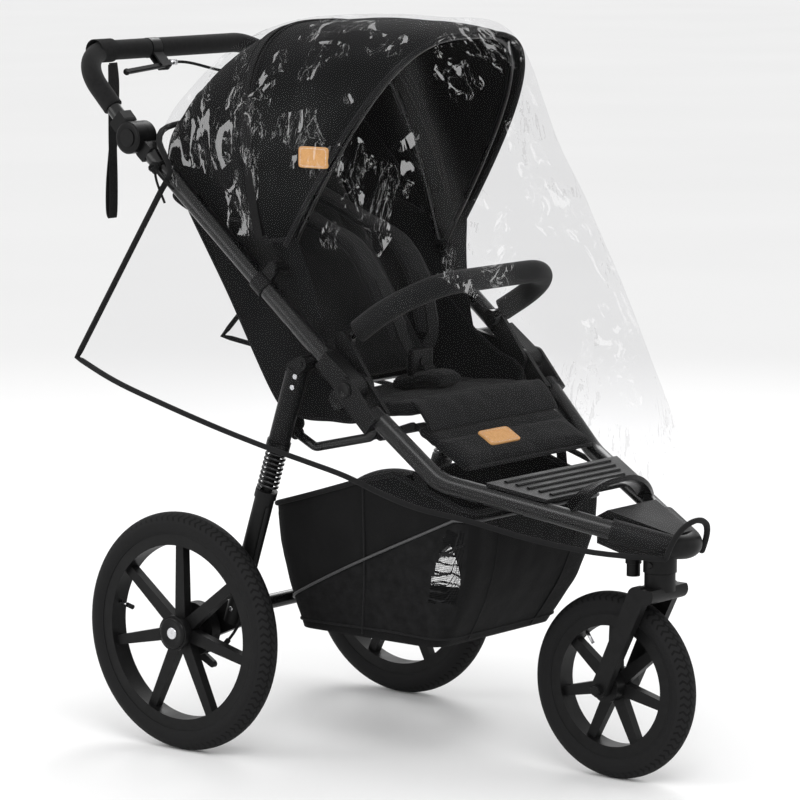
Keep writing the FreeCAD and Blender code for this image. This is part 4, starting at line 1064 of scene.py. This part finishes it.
# ------------------------------------------------------------ wrist strap and cover ties
loop = spline([P(-166, -262, 1126), P(-168, -256, 1085), P(-171, -258, 1000), P(-174, -264, 925),
    P(-177, -262, 876), P(-180, -253, 864),
               P(-183, -247, 880), P(-183, -246, 930), P(-181, -249, 1000), P(-179, -250, 1085),
                   P(-177, -252, 1124)], 10)
ls = band("wrist_strap_loop", loop, [Vector((0, -1, 0.02)).normalized()] * len(loop), 0.019, 0.0018,
    "web", "handlebar", "black_fabric")
loop_n = frames(loop)
for v_i in range(0, len(ls.data.vertices), 4):
    i = v_i // 4
    t, a, b = loop_n[i]
    nn = t.cross(Vector((1, 0, 0))).normalized()
    for k, (sx, h) in enumerate(((-1, 0), (-1, 1), (1, 1), (1, 0))):
        ls.data.vertices[v_i + k].co = loop[i] + Vector((1, 0, 0)) * sx * 0.0095 + nn * h * 0.0018
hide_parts("wrist_strap")
wrap = []
for k in range(41):
    a = 2 * math.pi * k / 40
    wrap.append(P(-172, -280 + 18.4 * math.cos(a), 1146 + 18.4 * math.sin(a)))
w = band("wrist_strap_wrap", wrap, [(p - P(-172, -280, 1146)).normalized() for p in wrap], 0.040,
0.0018, "web", "handlebar", "black_fabric")
tube_dir = (P(0, -145, 1010) - P(0, 320, 628)).normalized()
for s, nm in ((1, "left"), (-1, "right")):
    c = P(s * 232, -145, 1010) - tube_dir * 0.072
    a1 = Vector((1, 0, 0))
    a2 = tube_dir.cross(a1).normalized()
    ring = [c + a1 * math.cos(t * 0.157) * 0.0178 + a2 * math.sin(t * 0.157) * 0.0178 + tube_dir * 0.003 * math.sin(t * 0.157) for t in range(40)]
    pipe("cover_tie_ring_" + nm, ring, 0.0026, "web", "upper_frame", 8, closed=True)
    k0 = c + a1 * s * 0.020
    pipe("cover_tie_knot_" + nm, [k0 + Vector((s * 0.004 * math.sin(t), 0.007 * math.cos(t * 1.7),
        0.006 * math.sin(t * 1.3))) for t in [x * 0.35 for x in range(36)]],
         0.0030, "web", "upper_frame", 8)
    for m, (df, dz) in enumerate(((26, -58), (46, -34))):
        tail = spline([k0, k0 + Vector((s * 0.006, -df / 2500, dz / 2500)),
            k0 + Vector((s * 0.004, -df / 1000, dz / 1000))], 8)
        pipe(f"cover_tie_tail_{nm}_{m}", tail, 0.0022, "web", "upper_frame", 8)


# ------------------------------------------------------------ small hard details
def disc(name, centre, axis, radius, depth, mat, body, dish=0.0, ring=0.0, seg=48):
    """Turned button: flat face with a rounded rim."""
    axis = axis.normalized()
    a = axis.orthogonal().normalized()
    b = axis.cross(a)
    prof = [(0.0, depth - dish), (radius * 0.55, depth - dish),
    (radius * 0.72, depth - dish * 0.4 + ring), (radius * 0.88, depth + ring * 0.5),
        (radius * 0.97, depth * 0.75), (radius, 0.0)]
    verts, faces = [centre + axis * prof[0][1]], []
    for r, h in prof[1:]:
        for k in range(seg):
            t = 2 * math.pi * k / seg
            verts.append(centre + axis * h + (a * math.cos(t) + b * math.sin(t)) * r)
    for k in range(seg):
        faces.append((0, 1 + k, 1 + (k + 1) % seg))
        for j in range(len(prof) - 2):
            o = 1 + j * seg
            faces.append((o + k, o + seg + k, o + seg + (k + 1) % seg, o + (k + 1) % seg))
    return make(name, verts, faces, mat, body)


X = Vector((1, 0, 0))
for s, nm in ((1, "left"), (-1, "right")):
    disc("hub_cap_" + nm, P(s * 314.6, 0, 200), X * s, 0.027, 0.0035, "gloss", "rear_wheel_" + nm,
    0.0015, 0.0008)
    disc("hub_centre_" + nm, P(s * 316.6, 0, 200), X * s, 0.010, 0.0018, "zinc", "rear_wheel_" + nm)
    disc("tilt_ring_" + nm, P(s * 255.9, -145, 1010), X * s, 0.0262, 0.0012, "gloss", "handlebar",
        0.0, 0.0)
    disc("seat_disc_" + nm, P(s * 207.0, 268, 604), X * s, 0.019, 0.0035, "gloss", "chassis",
        0.001, 0.0006)
    disc("fold_cap_" + nm, P(s * 254.9, 320, 628), X * s, 0.0135, 0.0022, "gloss", "chassis",
        0.001, 0.0005)
    for i, (f, z) in enumerate(((213, 640), (207, 622))):
        disc(f"leg_pin_{nm}_{i}", P(s * 249.6, f, z), X * s, 0.0045, 0.0016, "zinc", "rear_legs")
    for i, (f, z) in enumerate(((96, 330), (87, 300), (70, 240))):
        disc(f"leg_screw_{nm}_{i}", P(s * 248.2, f, z), X * s, 0.0040, 0.0014, "zinc", "rear_axle")
    a = 2 * math.pi / 7 * 1.5 + math.radians(90)
    rim_r = 0.2 - 0.022 - 0.013 - 0.019
    c = P(s * 288.5, 0, 200)
    d = Vector((0, -math.cos(a), math.sin(a)))
    pipe("valve_" + nm, [c + d * (rim_r + 0.001), c + d * (rim_r - 0.014), c + d * (rim_r - 0.024)],
        0.0030, "zinc", "rear_wheel_" + nm, 10)
    pipe("valve_cap_" + nm, [c + d * (rim_r - 0.016), c + d * (rim_r - 0.030)], 0.0040, "plastic",
    "rear_wheel_" + nm, 10)
    disc("fork_nut_" + nm, P(s * 57.6, 677, 153), X * s, 0.0085, 0.0020, "gloss", "fork")
    disc("neck_bolt_" + nm, P(s * 26.6, 762, 362), X * s, 0.0050, 0.0030, "gloss", "chassis")
d = Vector((0, -math.cos(2.2), math.sin(2.2)))
rr = 0.153 - 0.022 - 0.013 - 0.019
pipe("valve_front", [P(0, 677, 153) + d * (rr + 0.001), P(0, 677, 153) + d * (rr - 0.022)], 0.0030,
    "zinc", "front_wheel", 10)
grip_dir = (P(0, -280, 1146) - P(0, -145, 1010)).normalized()
across = -grip_dir
bm0 = P(0, -280, 1146)
pipe("lever_barrel", [bm0 + Vector((-0.030, 0, 0)) + across * 0.0352,
    bm0 + Vector((-0.016, 0, 0)) + across * 0.0362], 0.0052, "zinc", "handlebar", 14)

# legrest edge, tag and its stitched seams
ln = head(60)
lf = leg_foot
edge_pts = [lf + leg_dir * 0.124 + ln * 0.004 + Vector((x, 0,
    0)) for x in [-0.166 + 0.332 * i / 40 for i in range(41)]]
pipe("legrest_piping", edge_pts, 0.0034, "pipe", "legrest", 8)
patch("legrest_tag", lf + leg_dir * 0.078 + ln * 0.0175 + Vector((-0.040, 0, 0)), Vector((1, 0, 0)),
    -leg_dir, 0.078, 0.036, "legrest")

# ------------------------------------------------------------ stage
floor_me = bpy.data.meshes.new("floor")
fb = bmesh.new()
bmesh.ops.create_grid(fb, x_segments=1, y_segments=1, size=30)
fb.to_mesh(floor_me)
fb.free()
floor = bpy.data.objects.new("floor", floor_me)
bpy.context.scene.collection.objects.link(floor)
k = Mat("m_floor").set(Roughness=0.9, Specular_IOR_Level=0.1)
k.to(k.ramp(k.noise(0.6, 2), [(0.3, (0.85, 0.85, 0.85, 1)), (0.7, (0.87, 0.87, 0.87, 1))]), "Base Color")
floor_me.materials.append(k.m)

sc = bpy.context.scene
world = bpy.data.worlds.new("studio")
world.use_nodes = True
bg = world.node_tree.nodes["Background"]
bg.inputs["Color"].default_value = (1, 1, 1, 1)
bg.inputs["Strength"].default_value = 1.0
sc.world = world


def lamp(name, loc, target, size, power):
    d = bpy.data.lights.new(name, "AREA")
    d.shape = "RECTANGLE"
    d.size, d.size_y = size
    d.energy = power
    o = bpy.data.objects.new(name, d)
    o.location = loc
    o.rotation_euler = (Vector(target) - Vector(loc)).to_track_quat("-Z", "Y").to_euler()
    sc.collection.objects.link(o)


lamp("key", (-2.2, -2.6, 3.4), (0, 0, 0.6), (2.4, 2.0), 68)
lamp("fill", (-3.6, 2.2, 2.2), (0, 0, 0.7), (1.6, 2.6), 30)
lamp("rim", (2.6, 1.6, 2.8), (0, 0, 0.7), (1.2, 2.4), 42)
CAMERA_LENS = 180.05
CAMERA_AT = (-5.1236, -4.1335, 1.5243)
CAMERA_PITCH, CAMERA_YAW = 8.18, -50.93
cam = bpy.data.cameras.new("camera")
cam.lens = CAMERA_LENS
cam.sensor_width = 36
cam.dof.use_dof = False
co = bpy.data.objects.new("camera", cam)
co.location = CAMERA_AT
co.rotation_euler = (math.radians(90 - CAMERA_PITCH), 0, math.radians(CAMERA_YAW))
sc.collection.objects.link(co)
sc.camera = co
sc.view_settings.view_transform = "Standard"
